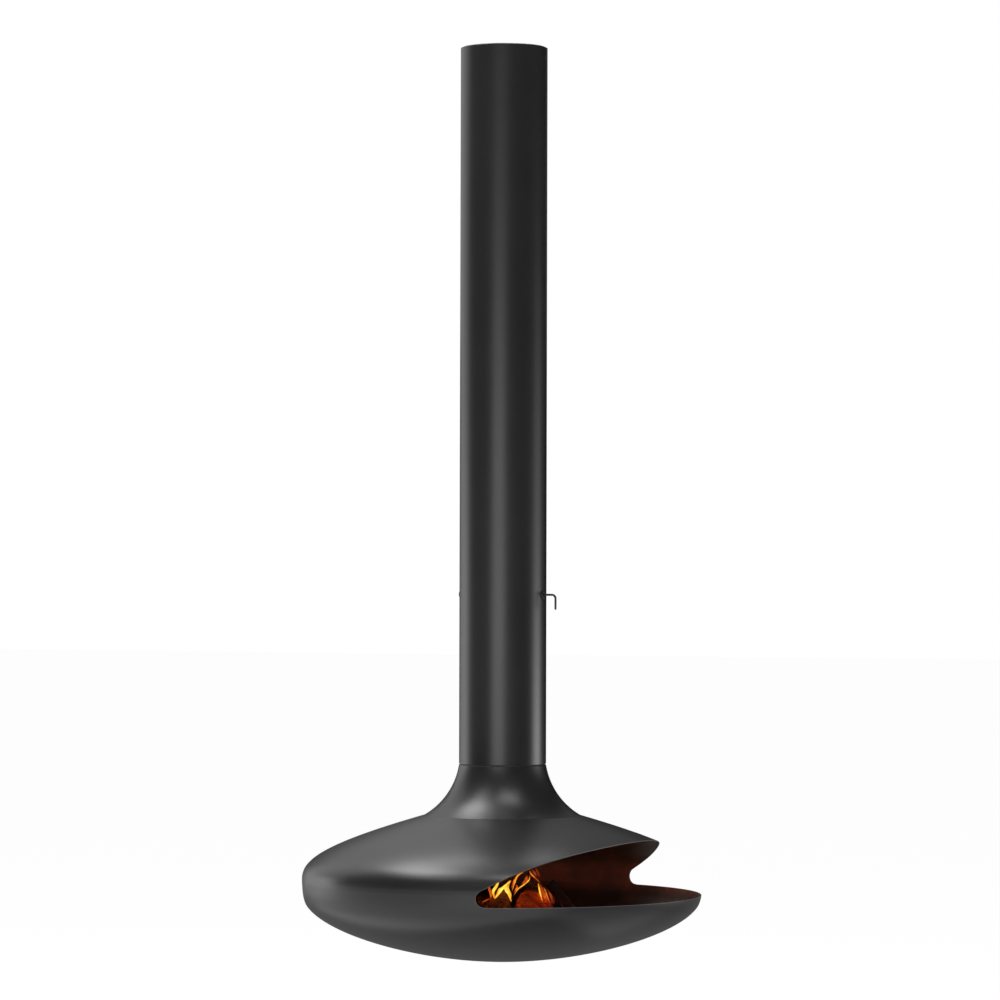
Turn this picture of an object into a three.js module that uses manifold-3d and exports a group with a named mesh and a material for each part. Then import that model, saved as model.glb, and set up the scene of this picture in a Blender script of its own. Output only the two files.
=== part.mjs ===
// A hanging, swivelling open fireplace: a steel flue drops from the ceiling and carries a lens-shaped hearth.
// Millimetres, +Z up. The origin is the centre of the ceiling plate's top, and the hearth's mouth faces -Y.
import * as THREE from "three";
import { mergeVertices } from "three/addons/utils/BufferGeometryUtils.js";
import Module from "manifold-3d";

const wasm = await Module();
wasm.setup();

// ---- Driving dimensions --------------------------------------------------------------------------

const FLUE_R = 125;
const FLUE_WALL = 3;
const FLUE_TOP_Z = -3;
const FLUE_FOOT_Z = -2060;
const FLUE_BORE_R = FLUE_R - FLUE_WALL;

const SHADOW_GAP = 2.5; // between the flue's foot and the neck
const FIT_GAP = 0.3; // between pieces that touch
const SHELL_WALL = 3;

const NECK_TOP_Z = FLUE_FOOT_Z - SHADOW_GAP;
const NECK_ARC_R = 205; // the neck is a hollow arc, swung out from the flue
const NECK_TOP_DEG = 9;
const NECK_FOOT_DEG = 60;
const NECK_WALL = 2;

const RIM_R = 572.5; // the bowl's rim, which is also the mouth's lower lip
const RIM_Z = -2435;
const HOOD_SLOPE_DEG = 16.3;
const HOOD_REACH = 418; // how far the hood holds that slope
const HOOD_DROP = 71.5; // how far above the rim it turns upright
const BOWL_Z = -2625.5;
const BOWL_TURN = 95; // how far below the rim the bowl turns in
const BOWL_FLAT = 265; // how far out its flat bottom reaches

const MOUTH_CORNER = { out: 191.5, z: -2410.75, r: 25.25 };
const MOUTH_START_DEG = 30;
const MOUTH_START_PULL = 110;
const MOUTH_END = { out: 410.5, z: -2275.75 };
const MOUTH_END_DEG = 19;
const MOUTH_END_PULL = 110;

const DAMPER_Z = -1575;
const ROD_R = 3;
const HANDLE_OUT = 165; // from the flue's axis to the middle of the hanging grip
const HANDLE_DROP = 43;
const HANDLE_BEND_R = 11;
const DISC_R = 110;
const DISC_THICK = 2.5;
const ROSETTE_R = 13;

const SPIGOT_R = 103;
const PLATE_R = 118.5;
const PLATE_THICK = 8;
const HANGER_Z = -106; // underside of the ring that hangs on the bearing

const FLANGE_R = 106;
const FLANGE_THICK = 8;
const FLUE_FLANGE_Z = -2032;
const GASKET_THICK = 2;
const BOLT_CIRCLE_R = 112.3;
const BOLT_COUNT = 6;

const TRAY_TOP_Z = -2576;
const TRAY_LIP_R = 334;
const BRICK_COUNT = 6;
const BRICK_THICK = 30;
const BRICK_IN_R = 162;
const BRICK_OUT_R = 329;
const GRATE_R = 156;
const GRATE_THICK = 15;
const PAN_R = 149;
const PAN_RIM_R = 158;
const PAN_FLOOR_Z = -2612;

const PILE_HEAD_DEG = -66; // the way the pile of logs points

const ROUND_LARGE = 48; // sides of the flue and the shells
const ROUND_RING = 32; // sides of the hidden rings
const ROUND_SMALL = 8; // sides of rods, screws and bushes

const deg = THREE.MathUtils.degToRad;

// ---- Materials -----------------------------------------------------------------------------------

function finish(color, roughness, metalness) {
  return new THREE.MeshStandardMaterial({ color, roughness, metalness });
}

const blackPaint = finish(0x2d2d2e, 0.5, 0.35);
const sootedPaint = finish(0x15110f, 0.85, 0.2);
const bareSteel = finish(0x8b8e91, 0.4, 0.9);
const castIron = finish(0x232323, 0.75, 0.6);
const firebrick = finish(0xb9a78c, 0.95, 0);
const glassFibre = finish(0xc9c4b8, 1, 0);
const charredWood = finish(0x3a2214, 0.9, 0);

// ---- Solids --------------------------------------------------------------------------------------

// A three.js geometry as a closed solid with its shared vertices merged.
function solid(geometry) {
  const bare = geometry.index ? geometry.toNonIndexed() : geometry.clone();
  bare.deleteAttribute("normal");
  bare.deleteAttribute("uv");
  const merged = mergeVertices(bare, 1e-3);
  const mesh = new wasm.Mesh({
    numProp: 3,
    vertProperties: merged.attributes.position.array,
    triVerts: new Uint32Array(merged.index.array),
  });
  return new wasm.Manifold(mesh);
}

// A solid as a named mesh.
function piece(name, material, shape) {
  const made = shape.getMesh();
  const geometry = new THREE.BufferGeometry();
  geometry.setAttribute("position", new THREE.BufferAttribute(made.vertProperties, 3));
  geometry.setIndex(new THREE.BufferAttribute(made.triVerts, 1));
  geometry.computeVertexNormals();
  const mesh = new THREE.Mesh(geometry, material);
  mesh.name = name;
  return mesh;
}

// A profile of [radius, z] points, listed with the solid on its left, turned about Z.
function turned(profile, sides) {
  const points = profile.map(([r, z]) => new THREE.Vector2(r, z));
  return solid(new THREE.LatheGeometry(points, sides).rotateX(Math.PI / 2));
}

function ring(innerR, outerR, lowZ, highZ, sides = ROUND_RING) {
  const corners = [[innerR, lowZ], [outerR, lowZ], [outerR, highZ], [innerR, highZ], [innerR, lowZ]];
  return turned(corners, sides);
}

// An upright cylinder standing on z = 0.
function post(r, height, sides = ROUND_SMALL) {
  const upright = new THREE.CylinderGeometry(r, r, height, sides).rotateX(Math.PI / 2);
  return solid(upright.translate(0, 0, height / 2));
}

// A cylinder or tube lying along -Y from fromY to toY, on the damper's axis.
function alongDamper(r, fromY, toY, boreR = 0, sides = ROUND_SMALL) {
  const length = fromY - toY;
  const rod = boreR ? ring(boreR, r, 0, length, sides) : post(r, length, sides);
  return rod.rotate([90, 0, 0]).translate([0, fromY, DAMPER_Z]);
}

function block(sizeX, sizeY, sizeZ) {
  return solid(new THREE.BoxGeometry(sizeX, sizeY, sizeZ));
}

// Points of a cubic curve between two [r, z] ends.
function cubic(start, startPull, endPull, end, steps) {
  const points = [start, startPull, endPull, end].map(([r, z]) => new THREE.Vector2(r, z));
  return new THREE.CubicBezierCurve(...points).getPoints(steps).map((p) => [p.x, p.y]);
}

// The same outline moved inwards by a wall thickness, square to itself. The outline runs down the outside.
function inset(outline, wall) {
  return outline.map(([r, z], i) => {
    const [r0, z0] = outline[Math.max(i - 1, 0)];
    const [r1, z1] = outline[Math.min(i + 1, outline.length - 1)];
    const length = Math.hypot(r1 - r0, z1 - z0);
    return [Math.max(r - (wall * (z0 - z1)) / length, 0), z - (wall * (r1 - r0)) / length];
  });
}

// A thin wall between an outline that runs down the outside and its inset.
function shell(outline, inner, sides = ROUND_LARGE) {
  return turned([...inner, ...outline.slice().reverse(), inner[0]], sides);
}

// ---- Outlines of the hearth ----------------------------------------------------------------------

function neckOutline() {
  const centreR = FLUE_R + NECK_ARC_R * Math.cos(deg(NECK_TOP_DEG));
  const centreZ = NECK_TOP_Z + NECK_ARC_R * Math.sin(deg(NECK_TOP_DEG));
  const steps = 6;
  return Array.from({ length: steps + 1 }, (_, i) => {
    const turn = deg(NECK_TOP_DEG + ((NECK_FOOT_DEG - NECK_TOP_DEG) * i) / steps);
    return [centreR - NECK_ARC_R * Math.cos(turn), centreZ - NECK_ARC_R * Math.sin(turn)];
  });
}

const [NECK_FOOT_R, NECK_FOOT_Z] = neckOutline().at(-1);
const HOOD_GRADE = Math.tan(deg(HOOD_SLOPE_DEG));
const COLLAR_R = FLUE_BORE_R - FIT_GAP;

function hoodOutline() {
  const slopePull = [
    NECK_FOOT_R + HOOD_REACH * Math.cos(deg(HOOD_SLOPE_DEG)),
    NECK_FOOT_Z - HOOD_REACH * Math.sin(deg(HOOD_SLOPE_DEG)),
  ];
  const rim = [RIM_R, RIM_Z + FIT_GAP];
  const underNeck = [FLUE_BORE_R, NECK_FOOT_Z + (NECK_FOOT_R - FLUE_BORE_R) * HOOD_GRADE];
  return [underNeck, ...cubic([NECK_FOOT_R, NECK_FOOT_Z], slopePull, [RIM_R, RIM_Z + HOOD_DROP], rim, 11)];
}

function bowlOutline() {
  return cubic([RIM_R, RIM_Z], [RIM_R, RIM_Z - BOWL_TURN], [BOWL_FLAT, BOWL_Z], [0, BOWL_Z], 10);
}

// Everything inside the hood and bowl, kept a little clear of their walls.
function cavity(clearance) {
  const wall = SHELL_WALL + clearance;
  const hoodInner = inset(hoodOutline(), wall);
  const bowlInner = inset(bowlOutline(), wall);
  const profile = [[0, hoodInner[0][1]], ...hoodInner, ...bowlInner.slice(0, -1), [0, BOWL_Z + wall]];
  return turned(profile.reverse(), ROUND_LARGE);
}

// The mouth seen from the side, pushed right through the hood: a round corner, then a rising upper edge.
function mouthCutter() {
  const { out, z, r } = MOUTH_CORNER;
  const far = 760;
  const below = RIM_Z - 60;
  const leave = Math.PI / 2 + deg(MOUTH_START_DEG);
  const start = [out + r * Math.cos(leave), z + r * Math.sin(leave)];
  const rise = (angle, pull) => [pull * Math.cos(deg(angle)), pull * Math.sin(deg(angle))];
  const [startOut, startUp] = rise(MOUTH_START_DEG, MOUTH_START_PULL);
  const [endOut, endUp] = rise(MOUTH_END_DEG, MOUTH_END_PULL);
  const outline = new THREE.Shape();
  outline.moveTo(out, below);
  outline.lineTo(far, below);
  outline.lineTo(far, MOUTH_END.z + (far - MOUTH_END.out) * Math.tan(deg(MOUTH_END_DEG)));
  outline.lineTo(MOUTH_END.out, MOUTH_END.z);
  outline.bezierCurveTo(
    MOUTH_END.out - endOut, MOUTH_END.z - endUp, start[0] + startOut, start[1] + startUp, start[0], start[1],
  );
  outline.absarc(out, z, r, leave, (3 * Math.PI) / 2, false);
  const width = 2 * far;
  const cutter = new THREE.ExtrudeGeometry(outline, { depth: width, bevelEnabled: false, curveSegments: 12 });
  const toSide = new THREE.Matrix4().makeBasis(
    new THREE.Vector3(0, -1, 0), new THREE.Vector3(0, 0, 1), new THREE.Vector3(-1, 0, 0),
  );
  return solid(cutter.translate(0, 0, -width / 2).applyMatrix4(toSide));
}

// ---- Ceiling support and swivel ------------------------------------------------------------------

const BEARING = { inR: 105.5, outR: 117, raceThick: 3, ballR: 3, balls: 14 };
const UPPER_RACE_Z = HANGER_Z - FIT_GAP - BEARING.raceThick;
const LOWER_RACE_Z = UPPER_RACE_Z - 2 * (BEARING.ballR + FIT_GAP) - BEARING.raceThick;
const KEEPER = { topZ: LOWER_RACE_Z - FIT_GAP, thick: 12, outR: 118 };

function ceilingSupport() {
  const group = new THREE.Group();
  let plate = ring(SPIGOT_R - FLUE_WALL, PLATE_R, -PLATE_THICK, 0);
  const tappedHoleR = 4.25; // for M10 studs from the ceiling frame
  const holeCircleR = 109.5;
  const hole = post(tappedHoleR, 3 * PLATE_THICK).translate([holeCircleR, 0, -2 * PLATE_THICK]);
  for (const angle of [45, 135, 225, 315]) {
    plate = plate.subtract(hole.rotate([0, 0, angle]));
  }
  group.add(piece("ceiling_plate", bareSteel, plate));

  const keeperMidZ = KEEPER.topZ - KEEPER.thick / 2;
  const screwR = 2.5;
  const screwAngles = [30, 90, 150, 210, 270, 330];
  const screwHole = (angle) => {
    const hole = post(screwR + FIT_GAP, 30).rotate([0, 90, 0]).translate([SPIGOT_R - 10, 0, keeperMidZ]);
    return hole.rotate([0, 0, angle]);
  };
  let spigot = ring(SPIGOT_R - FLUE_WALL, SPIGOT_R, KEEPER.topZ - KEEPER.thick - 10, -PLATE_THICK - FIT_GAP);
  let keeper = ring(SPIGOT_R + FIT_GAP, KEEPER.outR, KEEPER.topZ - KEEPER.thick, KEEPER.topZ);
  for (const angle of screwAngles) {
    spigot = spigot.subtract(screwHole(angle));
    keeper = keeper.subtract(screwHole(angle));
  }
  group.add(piece("support_spigot", bareSteel, spigot));
  group.add(piece("keeper_ring", bareSteel, keeper));
  const headThick = 3;
  const headSeatX = SPIGOT_R - FLUE_WALL - 3 * FIT_GAP;
  screwAngles.forEach((angle, i) => {
    const screw = post(4.5, headThick, 6).add(post(screwR, 18));
    const seated = screw.rotate([0, 90, 0]).translate([headSeatX - headThick, 0, keeperMidZ]);
    group.add(piece(`keeper_screw_${i + 1}`, bareSteel, seated.rotate([0, 0, angle])));
  });

  const lowerRace = ring(BEARING.inR, BEARING.outR, LOWER_RACE_Z, LOWER_RACE_Z + BEARING.raceThick);
  group.add(piece("bearing_lower_race", bareSteel, lowerRace));
  return group;
}

// Balls held in one flat cage between the two races.
function ballCage() {
  const { inR, outR, ballR, balls } = BEARING;
  const midR = (inR + outR) / 2;
  const midZ = LOWER_RACE_Z + BEARING.raceThick + FIT_GAP + ballR;
  const cageThick = 1.6;
  let cage = ring(inR + 1, outR - 1, midZ - cageThick / 2, midZ + cageThick / 2);
  for (let i = 0; i < balls; i++) {
    const ball = solid(new THREE.SphereGeometry(ballR, 6, 4)).translate([midR, 0, midZ]);
    cage = cage.add(ball.rotate([0, 0, (360 * i) / balls]));
  }
  return piece("bearing_ball_cage", bareSteel, cage);
}

// ---- Flue ----------------------------------------------------------------------------------------

function flue() {
  const group = new THREE.Group();
  const bushR = 7;
  const crossHole = alongDamper(bushR + FIT_GAP, FLUE_R + 10, -FLUE_R - 10);
  const tube = ring(FLUE_BORE_R, FLUE_R, FLUE_FOOT_Z, FLUE_TOP_Z, ROUND_LARGE).subtract(crossHole);
  group.add(piece("flue_tube", blackPaint, tube));

  const hanger = ring(SPIGOT_R + 1.5, COLLAR_R, HANGER_Z, HANGER_Z + 8);
  group.add(piece("hanger_ring", bareSteel, hanger));
  const upperRace = ring(BEARING.inR, BEARING.outR, UPPER_RACE_Z, UPPER_RACE_Z + BEARING.raceThick);
  group.add(piece("bearing_upper_race", bareSteel, upperRace));
  const sealZ = HANGER_Z + 8 + FIT_GAP;
  group.add(piece("rope_seal", glassFibre, ring(SPIGOT_R + 1, SPIGOT_R + 8, sealZ, sealZ + 8)));

  let flueFlange = ring(FLANGE_R, COLLAR_R, FLUE_FLANGE_Z, FLUE_FLANGE_Z + FLANGE_THICK);
  const gasketTopZ = FLUE_FLANGE_Z - FIT_GAP;
  let gasket = ring(FLANGE_R, COLLAR_R, gasketTopZ - GASKET_THICK, gasketTopZ);
  const collarTopZ = gasketTopZ - GASKET_THICK - FIT_GAP;
  const flangeFootZ = collarTopZ - FLANGE_THICK;
  const collarFootZ = NECK_FOOT_Z + (NECK_FOOT_R - FLUE_BORE_R) * HOOD_GRADE - 8;
  const collarBoreR = COLLAR_R - SHELL_WALL;
  let collar = turned(
    [
      [FLANGE_R, flangeFootZ], [collarBoreR, flangeFootZ], [collarBoreR, collarFootZ],
      [COLLAR_R, collarFootZ], [COLLAR_R, collarTopZ], [FLANGE_R, collarTopZ], [FLANGE_R, flangeFootZ],
    ],
    ROUND_RING,
  );
  const boltR = 3;
  const headThick = 4;
  for (let i = 0; i < BOLT_COUNT; i++) {
    const angle = (360 * (i + 0.5)) / BOLT_COUNT;
    const place = (shape, z) => shape.translate([BOLT_CIRCLE_R, 0, z]).rotate([0, 0, angle]);
    const hole = place(post(boltR + 0.4, 40), flangeFootZ - 10);
    flueFlange = flueFlange.subtract(hole);
    gasket = gasket.subtract(hole);
    collar = collar.subtract(hole);
    const bolt = post(5.6, headThick, 6).add(post(boltR, 24));
    group.add(piece(`flange_bolt_${i + 1}`, bareSteel, place(bolt, flangeFootZ - headThick - FIT_GAP)));
  }
  group.add(piece("flue_flange", bareSteel, flueFlange));
  group.add(piece("flange_gasket", glassFibre, gasket));
  group.add(piece("hearth_collar", sootedPaint, collar));

  // Bushes in the flue wall, the rosette outside the front one and the cap over the back one.
  const flueEnvelope = post(FLUE_R + FIT_GAP, 80, ROUND_LARGE).translate([0, 0, DAMPER_Z - 40]);
  const boreR = ROD_R + FIT_GAP;
  const innerY = FLUE_BORE_R - 2.5;
  const outerY = FLUE_R - 0.5;
  group.add(piece("front_bush", bareSteel, alongDamper(bushR, -innerY, -outerY, boreR)));
  group.add(piece("rear_bush", bareSteel, alongDamper(bushR, outerY, innerY, boreR)));
  const rosette = alongDamper(ROSETTE_R, -FLUE_R + 3, -FLUE_R - 4, boreR, 24).subtract(flueEnvelope);
  group.add(piece("handle_rosette", blackPaint, rosette));
  const capBlank = alongDamper(ROSETTE_R, FLUE_R + 11, FLUE_R - 3, 0, 24).subtract(flueEnvelope);
  const capBore = alongDamper(boreR + 2, FLUE_R + 7, FLUE_R - 10);
  group.add(piece("rear_cap", blackPaint, capBlank.subtract(capBore)));
  const washer = alongDamper(7, -innerY + 1.2, -innerY + FIT_GAP, boreR);
  group.add(piece("friction_washer", bareSteel, washer));
  return group;
}

// ---- Damper --------------------------------------------------------------------------------------

// One bent rod: the shaft across the flue, a bend, and the grip that hangs in front.
function damperRod() {
  const rearY = FLUE_R + 5;
  const bendY = -(HANDLE_OUT - HANDLE_BEND_R);
  const shaft = alongDamper(ROD_R, rearY, bendY);
  const quarter = new THREE.TorusGeometry(HANDLE_BEND_R, ROD_R, ROUND_SMALL, 24).rotateY(Math.PI / 2);
  const quadrant = block(4 * ROD_R, 2 * HANDLE_BEND_R, 2 * HANDLE_BEND_R);
  const corner = solid(quarter).intersect(quadrant.translate([0, -HANDLE_BEND_R, HANDLE_BEND_R]));
  const bend = corner.translate([0, bendY, DAMPER_Z - HANDLE_BEND_R]);
  const gripFootZ = DAMPER_Z - HANDLE_DROP + ROD_R;
  const grip = post(ROD_R, HANDLE_DROP - ROD_R - HANDLE_BEND_R).translate([0, -HANDLE_OUT, gripFootZ]);
  const tip = solid(new THREE.SphereGeometry(ROD_R, ROUND_SMALL, 6).rotateX(Math.PI / 2));
  return shaft.add(bend).add(grip).add(tip.translate([0, -HANDLE_OUT, gripFootZ]));
}

function damper() {
  const group = new THREE.Group();
  group.add(piece("damper_rod", blackPaint, damperRod()));
  const discX = ROD_R + FIT_GAP;
  const disc = post(DISC_R, DISC_THICK, 48).rotate([0, 90, 0]).translate([discX, 0, DAMPER_Z]);
  group.add(piece("damper_disc", bareSteel, disc));
  for (const [name, y] of [["disc_clip_front", -60], ["disc_clip_rear", 60]]) {
    const saddleR = 5.2;
    const width = 12;
    const ears = block(1.8, width, 26).translate([discX - 0.9 - FIT_GAP, y, DAMPER_Z]);
    const saddle = alongDamper(saddleR, y + width / 2, y - width / 2);
    const backHalf = block(2 * saddleR, 2 * width, 26).translate([discX - FIT_GAP - saddleR, y, DAMPER_Z]);
    const rodSpace = alongDamper(ROD_R + FIT_GAP, y + width, y - width);
    group.add(piece(name, bareSteel, ears.add(saddle.intersect(backHalf)).subtract(rodSpace)));
  }
  const collarY = -DISC_R - 1;
  group.add(piece("set_collar", bareSteel, alongDamper(8, collarY, collarY - 7, ROD_R + FIT_GAP)));
  return group;
}

// ---- Hearth --------------------------------------------------------------------------------------

function hearth() {
  const group = new THREE.Group();
  const hoodLine = hoodOutline();
  const aboveHood = hoodLine.map(([r, z]) => [r, z + FIT_GAP]).reverse();
  const topZ = aboveHood.at(-1)[1];
  const underNeck = turned([[0, BOWL_Z], [RIM_R, BOWL_Z], ...aboveHood, [0, topZ]], ROUND_LARGE);
  const neckLine = neckOutline();
  const neck = shell(neckLine, inset(neckLine, NECK_WALL)).subtract(underNeck);
  group.add(piece("neck_flare", blackPaint, neck));

  const hoodInner = inset(hoodLine, SHELL_WALL);
  hoodInner[0][0] = FLUE_BORE_R;
  hoodInner.at(-1)[1] = RIM_Z + FIT_GAP;
  const hood = shell(hoodLine, hoodInner).subtract(mouthCutter());
  group.add(piece("hood_shell", blackPaint, hood));

  const bowlLine = bowlOutline();
  const bowlInner = inset(bowlLine, SHELL_WALL);
  bowlInner[0][1] = RIM_Z;
  bowlInner.at(-1)[0] = 0;
  const bowl = turned([...bowlInner.slice().reverse(), ...bowlLine].reverse(), ROUND_LARGE);
  group.add(piece("bowl_shell", blackPaint, bowl));

  // A strip behind the joint of hood and bowl, all round but for the mouth.
  const stripThick = 3;
  const stripHeight = 36;
  const stripEndY = 40 - MOUTH_CORNER.out;
  const behindMouth = block(2 * RIM_R, 2 * RIM_R, stripHeight).translate([0, RIM_R + stripEndY, RIM_Z]);
  const strip = cavity(FIT_GAP).subtract(cavity(FIT_GAP + stripThick)).intersect(behindMouth);
  group.add(piece("seam_strip", sootedPaint, strip));
  return group;
}

// ---- Fire bed ------------------------------------------------------------------------------------

function fireBed() {
  const group = new THREE.Group();
  const trayThick = 2;
  const holeR = PAN_R + 3;
  const lipZ = TRAY_TOP_Z + 18;
  const beyondBowl = TRAY_LIP_R + 30;
  const tray = turned(
    [
      [holeR, TRAY_TOP_Z - trayThick], [beyondBowl, TRAY_TOP_Z - trayThick], [beyondBowl, TRAY_TOP_Z],
      [TRAY_LIP_R, TRAY_TOP_Z], [TRAY_LIP_R, lipZ], [TRAY_LIP_R - trayThick, lipZ],
      [TRAY_LIP_R - trayThick, TRAY_TOP_Z], [holeR, TRAY_TOP_Z], [holeR, TRAY_TOP_Z - trayThick],
    ],
    ROUND_LARGE,
  ).intersect(cavity(FIT_GAP));
  group.add(piece("bed_tray", castIron, tray));

  const jointWidth = 2;
  const brickLowZ = TRAY_TOP_Z + FIT_GAP;
  const brickSpan = (2 * Math.PI) / BRICK_COUNT;
  for (let i = 0; i < BRICK_COUNT; i++) {
    const outline = new THREE.Shape();
    const trimAt = (r) => jointWidth / 2 / r;
    const fromOuter = trimAt(BRICK_OUT_R);
    const fromInner = trimAt(BRICK_IN_R);
    outline.absarc(0, 0, BRICK_OUT_R, fromOuter, brickSpan - fromOuter, false);
    outline.absarc(0, 0, BRICK_IN_R, brickSpan - fromInner, fromInner, true);
    const form = { depth: BRICK_THICK, bevelEnabled: false, curveSegments: 8 };
    const brick = solid(new THREE.ExtrudeGeometry(outline, form)).translate([0, 0, brickLowZ]);
    group.add(piece(`firebrick_${i + 1}`, firebrick, brick.rotate([0, 0, (360 * i) / BRICK_COUNT])));
  }
  return group;
}

function ashPan() {
  const wall = 2;
  const rimLowZ = TRAY_TOP_Z + FIT_GAP;
  const rimTopZ = rimLowZ + wall;
  const pan = turned(
    [
      [0, PAN_FLOOR_Z], [PAN_R - 8, PAN_FLOOR_Z], [PAN_R, PAN_FLOOR_Z + 8],
      [PAN_R, rimLowZ], [PAN_RIM_R, rimLowZ], [PAN_RIM_R, rimTopZ], [PAN_R - wall, rimTopZ],
      [PAN_R - wall, PAN_FLOOR_Z + 9], [PAN_R - 9, PAN_FLOOR_Z + wall], [0, PAN_FLOOR_Z + wall],
    ],
    ROUND_RING,
  );
  return piece("ash_pan", castIron, pan);
}

function grate() {
  const lowZ = TRAY_TOP_Z + 2 * FIT_GAP + 2;
  const barWidth = 9;
  const barPitch = 26;
  const barCount = 11;
  const hoopWidth = 16;
  let bars = ring(GRATE_R - hoopWidth, GRATE_R, lowZ, lowZ + GRATE_THICK, 48);
  for (let i = 0; i < barCount; i++) {
    const x = (i - (barCount - 1) / 2) * barPitch;
    const reach = Math.sqrt((GRATE_R - hoopWidth / 2) ** 2 - x ** 2);
    bars = bars.add(block(barWidth, 2 * reach, GRATE_THICK).translate([x, 0, lowZ + GRATE_THICK / 2]));
  }
  const crossBar = block(2 * (GRATE_R - hoopWidth / 2), barWidth, GRATE_THICK - 4);
  return piece("fire_grate", castIron, bars.add(crossBar.translate([0, 0, lowZ + GRATE_THICK / 2 - 2])));
}

// A split log with its bark on top, which tapers and bows a little along its length. It runs along local X.
function splitLog({ length, width, height, ridge }) {
  const section = [
    [-0.48, 0.1], [-0.46, 0.42], [ridge - 0.32, 0.84], [ridge, 1], [ridge + 0.3, 0.84],
    [0.46, 0.46], [0.48, 0.12], [0.24, 0], [-0.22, 0],
  ];
  const stations = 5;
  const sides = section.length;
  const taper = 0.1;
  const sway = 0.04 * width;
  const points = [];
  for (let i = 0; i <= stations; i++) {
    const t = i / stations;
    const size = 1 - taper * t;
    const drift = sway * Math.sin(5 * t + length);
    for (const [y, z] of section) {
      points.push((t - 0.5) * length + sway * y, y * width * size + drift, z * height * size);
    }
  }
  const faces = [];
  for (let i = 0; i < stations; i++) {
    for (let j = 0; j < sides; j++) {
      const a = i * sides + j;
      const b = i * sides + ((j + 1) % sides);
      faces.push(a, a + sides, b, b, a + sides, b + sides);
    }
  }
  const last = stations * sides;
  for (let j = 1; j < sides - 1; j++) {
    faces.push(0, j, j + 1, last, last + j + 1, last + j);
  }
  const geometry = new THREE.BufferGeometry();
  geometry.setAttribute("position", new THREE.Float32BufferAttribute(points, 3));
  geometry.setIndex(faces);
  return solid(geometry);
}

// The pile's own frame: along runs towards the mouth, aside runs to its left, up is from the bricks' top.
// Head turns a log away from along, and tilt lowers its far end.
const LOGS = {
  log_base_near: { length: 390, width: 92, height: 68, ridge: -0.06, along: -2, aside: -76, up: 1, head: 4 },
  log_base_far: { length: 370, width: 96, height: 66, ridge: 0.1, along: -8, aside: 72, up: 1, head: -5 },
  log_cross_front: { length: 320, width: 114, height: 62, ridge: 0.04, along: 96, aside: -6, up: 70, head: 88 },
  log_cross_rear: { length: 300, width: 72, height: 65, ridge: -0.14, along: -28, aside: 4, up: 70, head: 97 },
  log_top: { length: 230, width: 27, height: 22, ridge: 0, along: 82, aside: -2, up: 134, head: 90 },
  log_leaning: { length: 172, width: 60, height: 30, ridge: 0, along: 178, aside: 40, up: 68, head: 0, tilt: 50 },
};

function logs() {
  const group = new THREE.Group();
  const bricksTopZ = TRAY_TOP_Z + FIT_GAP + BRICK_THICK;
  for (const [name, { along, aside, up, head, tilt = 0, ...form }] of Object.entries(LOGS)) {
    const log = splitLog(form).rotate([0, tilt, 0]).rotate([0, 0, head]);
    const laid = log.translate([along, aside, bricksTopZ + up]).rotate([0, 0, PILE_HEAD_DEG]);
    group.add(piece(name, charredWood, laid));
  }
  return group;
}

const fireplace = new THREE.Group();
fireplace.add(ceilingSupport(), ballCage(), flue(), damper(), hearth(), fireBed(), ashPan(), grate(), logs());

export default fireplace;
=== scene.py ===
"""A hanging fireplace in satin black: a swivelling flue, a flared neck and a round hearth with a log fire."""
import math
import random

import bmesh
import bpy
import numpy as np
from mathutils import Matrix, Vector, noise


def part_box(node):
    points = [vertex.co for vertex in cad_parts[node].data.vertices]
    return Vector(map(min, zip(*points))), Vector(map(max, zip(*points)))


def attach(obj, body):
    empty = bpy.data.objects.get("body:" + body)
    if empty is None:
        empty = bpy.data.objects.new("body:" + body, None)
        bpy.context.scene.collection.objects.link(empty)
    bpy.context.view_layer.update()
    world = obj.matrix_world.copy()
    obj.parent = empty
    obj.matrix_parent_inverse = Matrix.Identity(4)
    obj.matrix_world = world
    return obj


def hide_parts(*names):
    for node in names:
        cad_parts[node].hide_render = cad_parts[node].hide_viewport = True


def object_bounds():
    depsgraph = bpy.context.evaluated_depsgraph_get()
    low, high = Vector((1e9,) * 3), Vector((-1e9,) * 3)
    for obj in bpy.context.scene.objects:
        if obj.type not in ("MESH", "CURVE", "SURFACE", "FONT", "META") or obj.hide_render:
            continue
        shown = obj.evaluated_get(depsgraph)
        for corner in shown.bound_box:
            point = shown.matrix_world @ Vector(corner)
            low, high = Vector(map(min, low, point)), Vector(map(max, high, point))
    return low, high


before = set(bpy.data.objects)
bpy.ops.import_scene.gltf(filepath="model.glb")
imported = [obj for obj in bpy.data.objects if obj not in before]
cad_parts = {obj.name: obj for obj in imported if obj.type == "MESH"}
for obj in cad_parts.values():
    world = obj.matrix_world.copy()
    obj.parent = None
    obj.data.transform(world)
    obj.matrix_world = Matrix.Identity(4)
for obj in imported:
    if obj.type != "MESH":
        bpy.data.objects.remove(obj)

CAD_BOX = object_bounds()

# ---- Sizes of the hearth, in metres, as in the construction --------------------------------------

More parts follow.
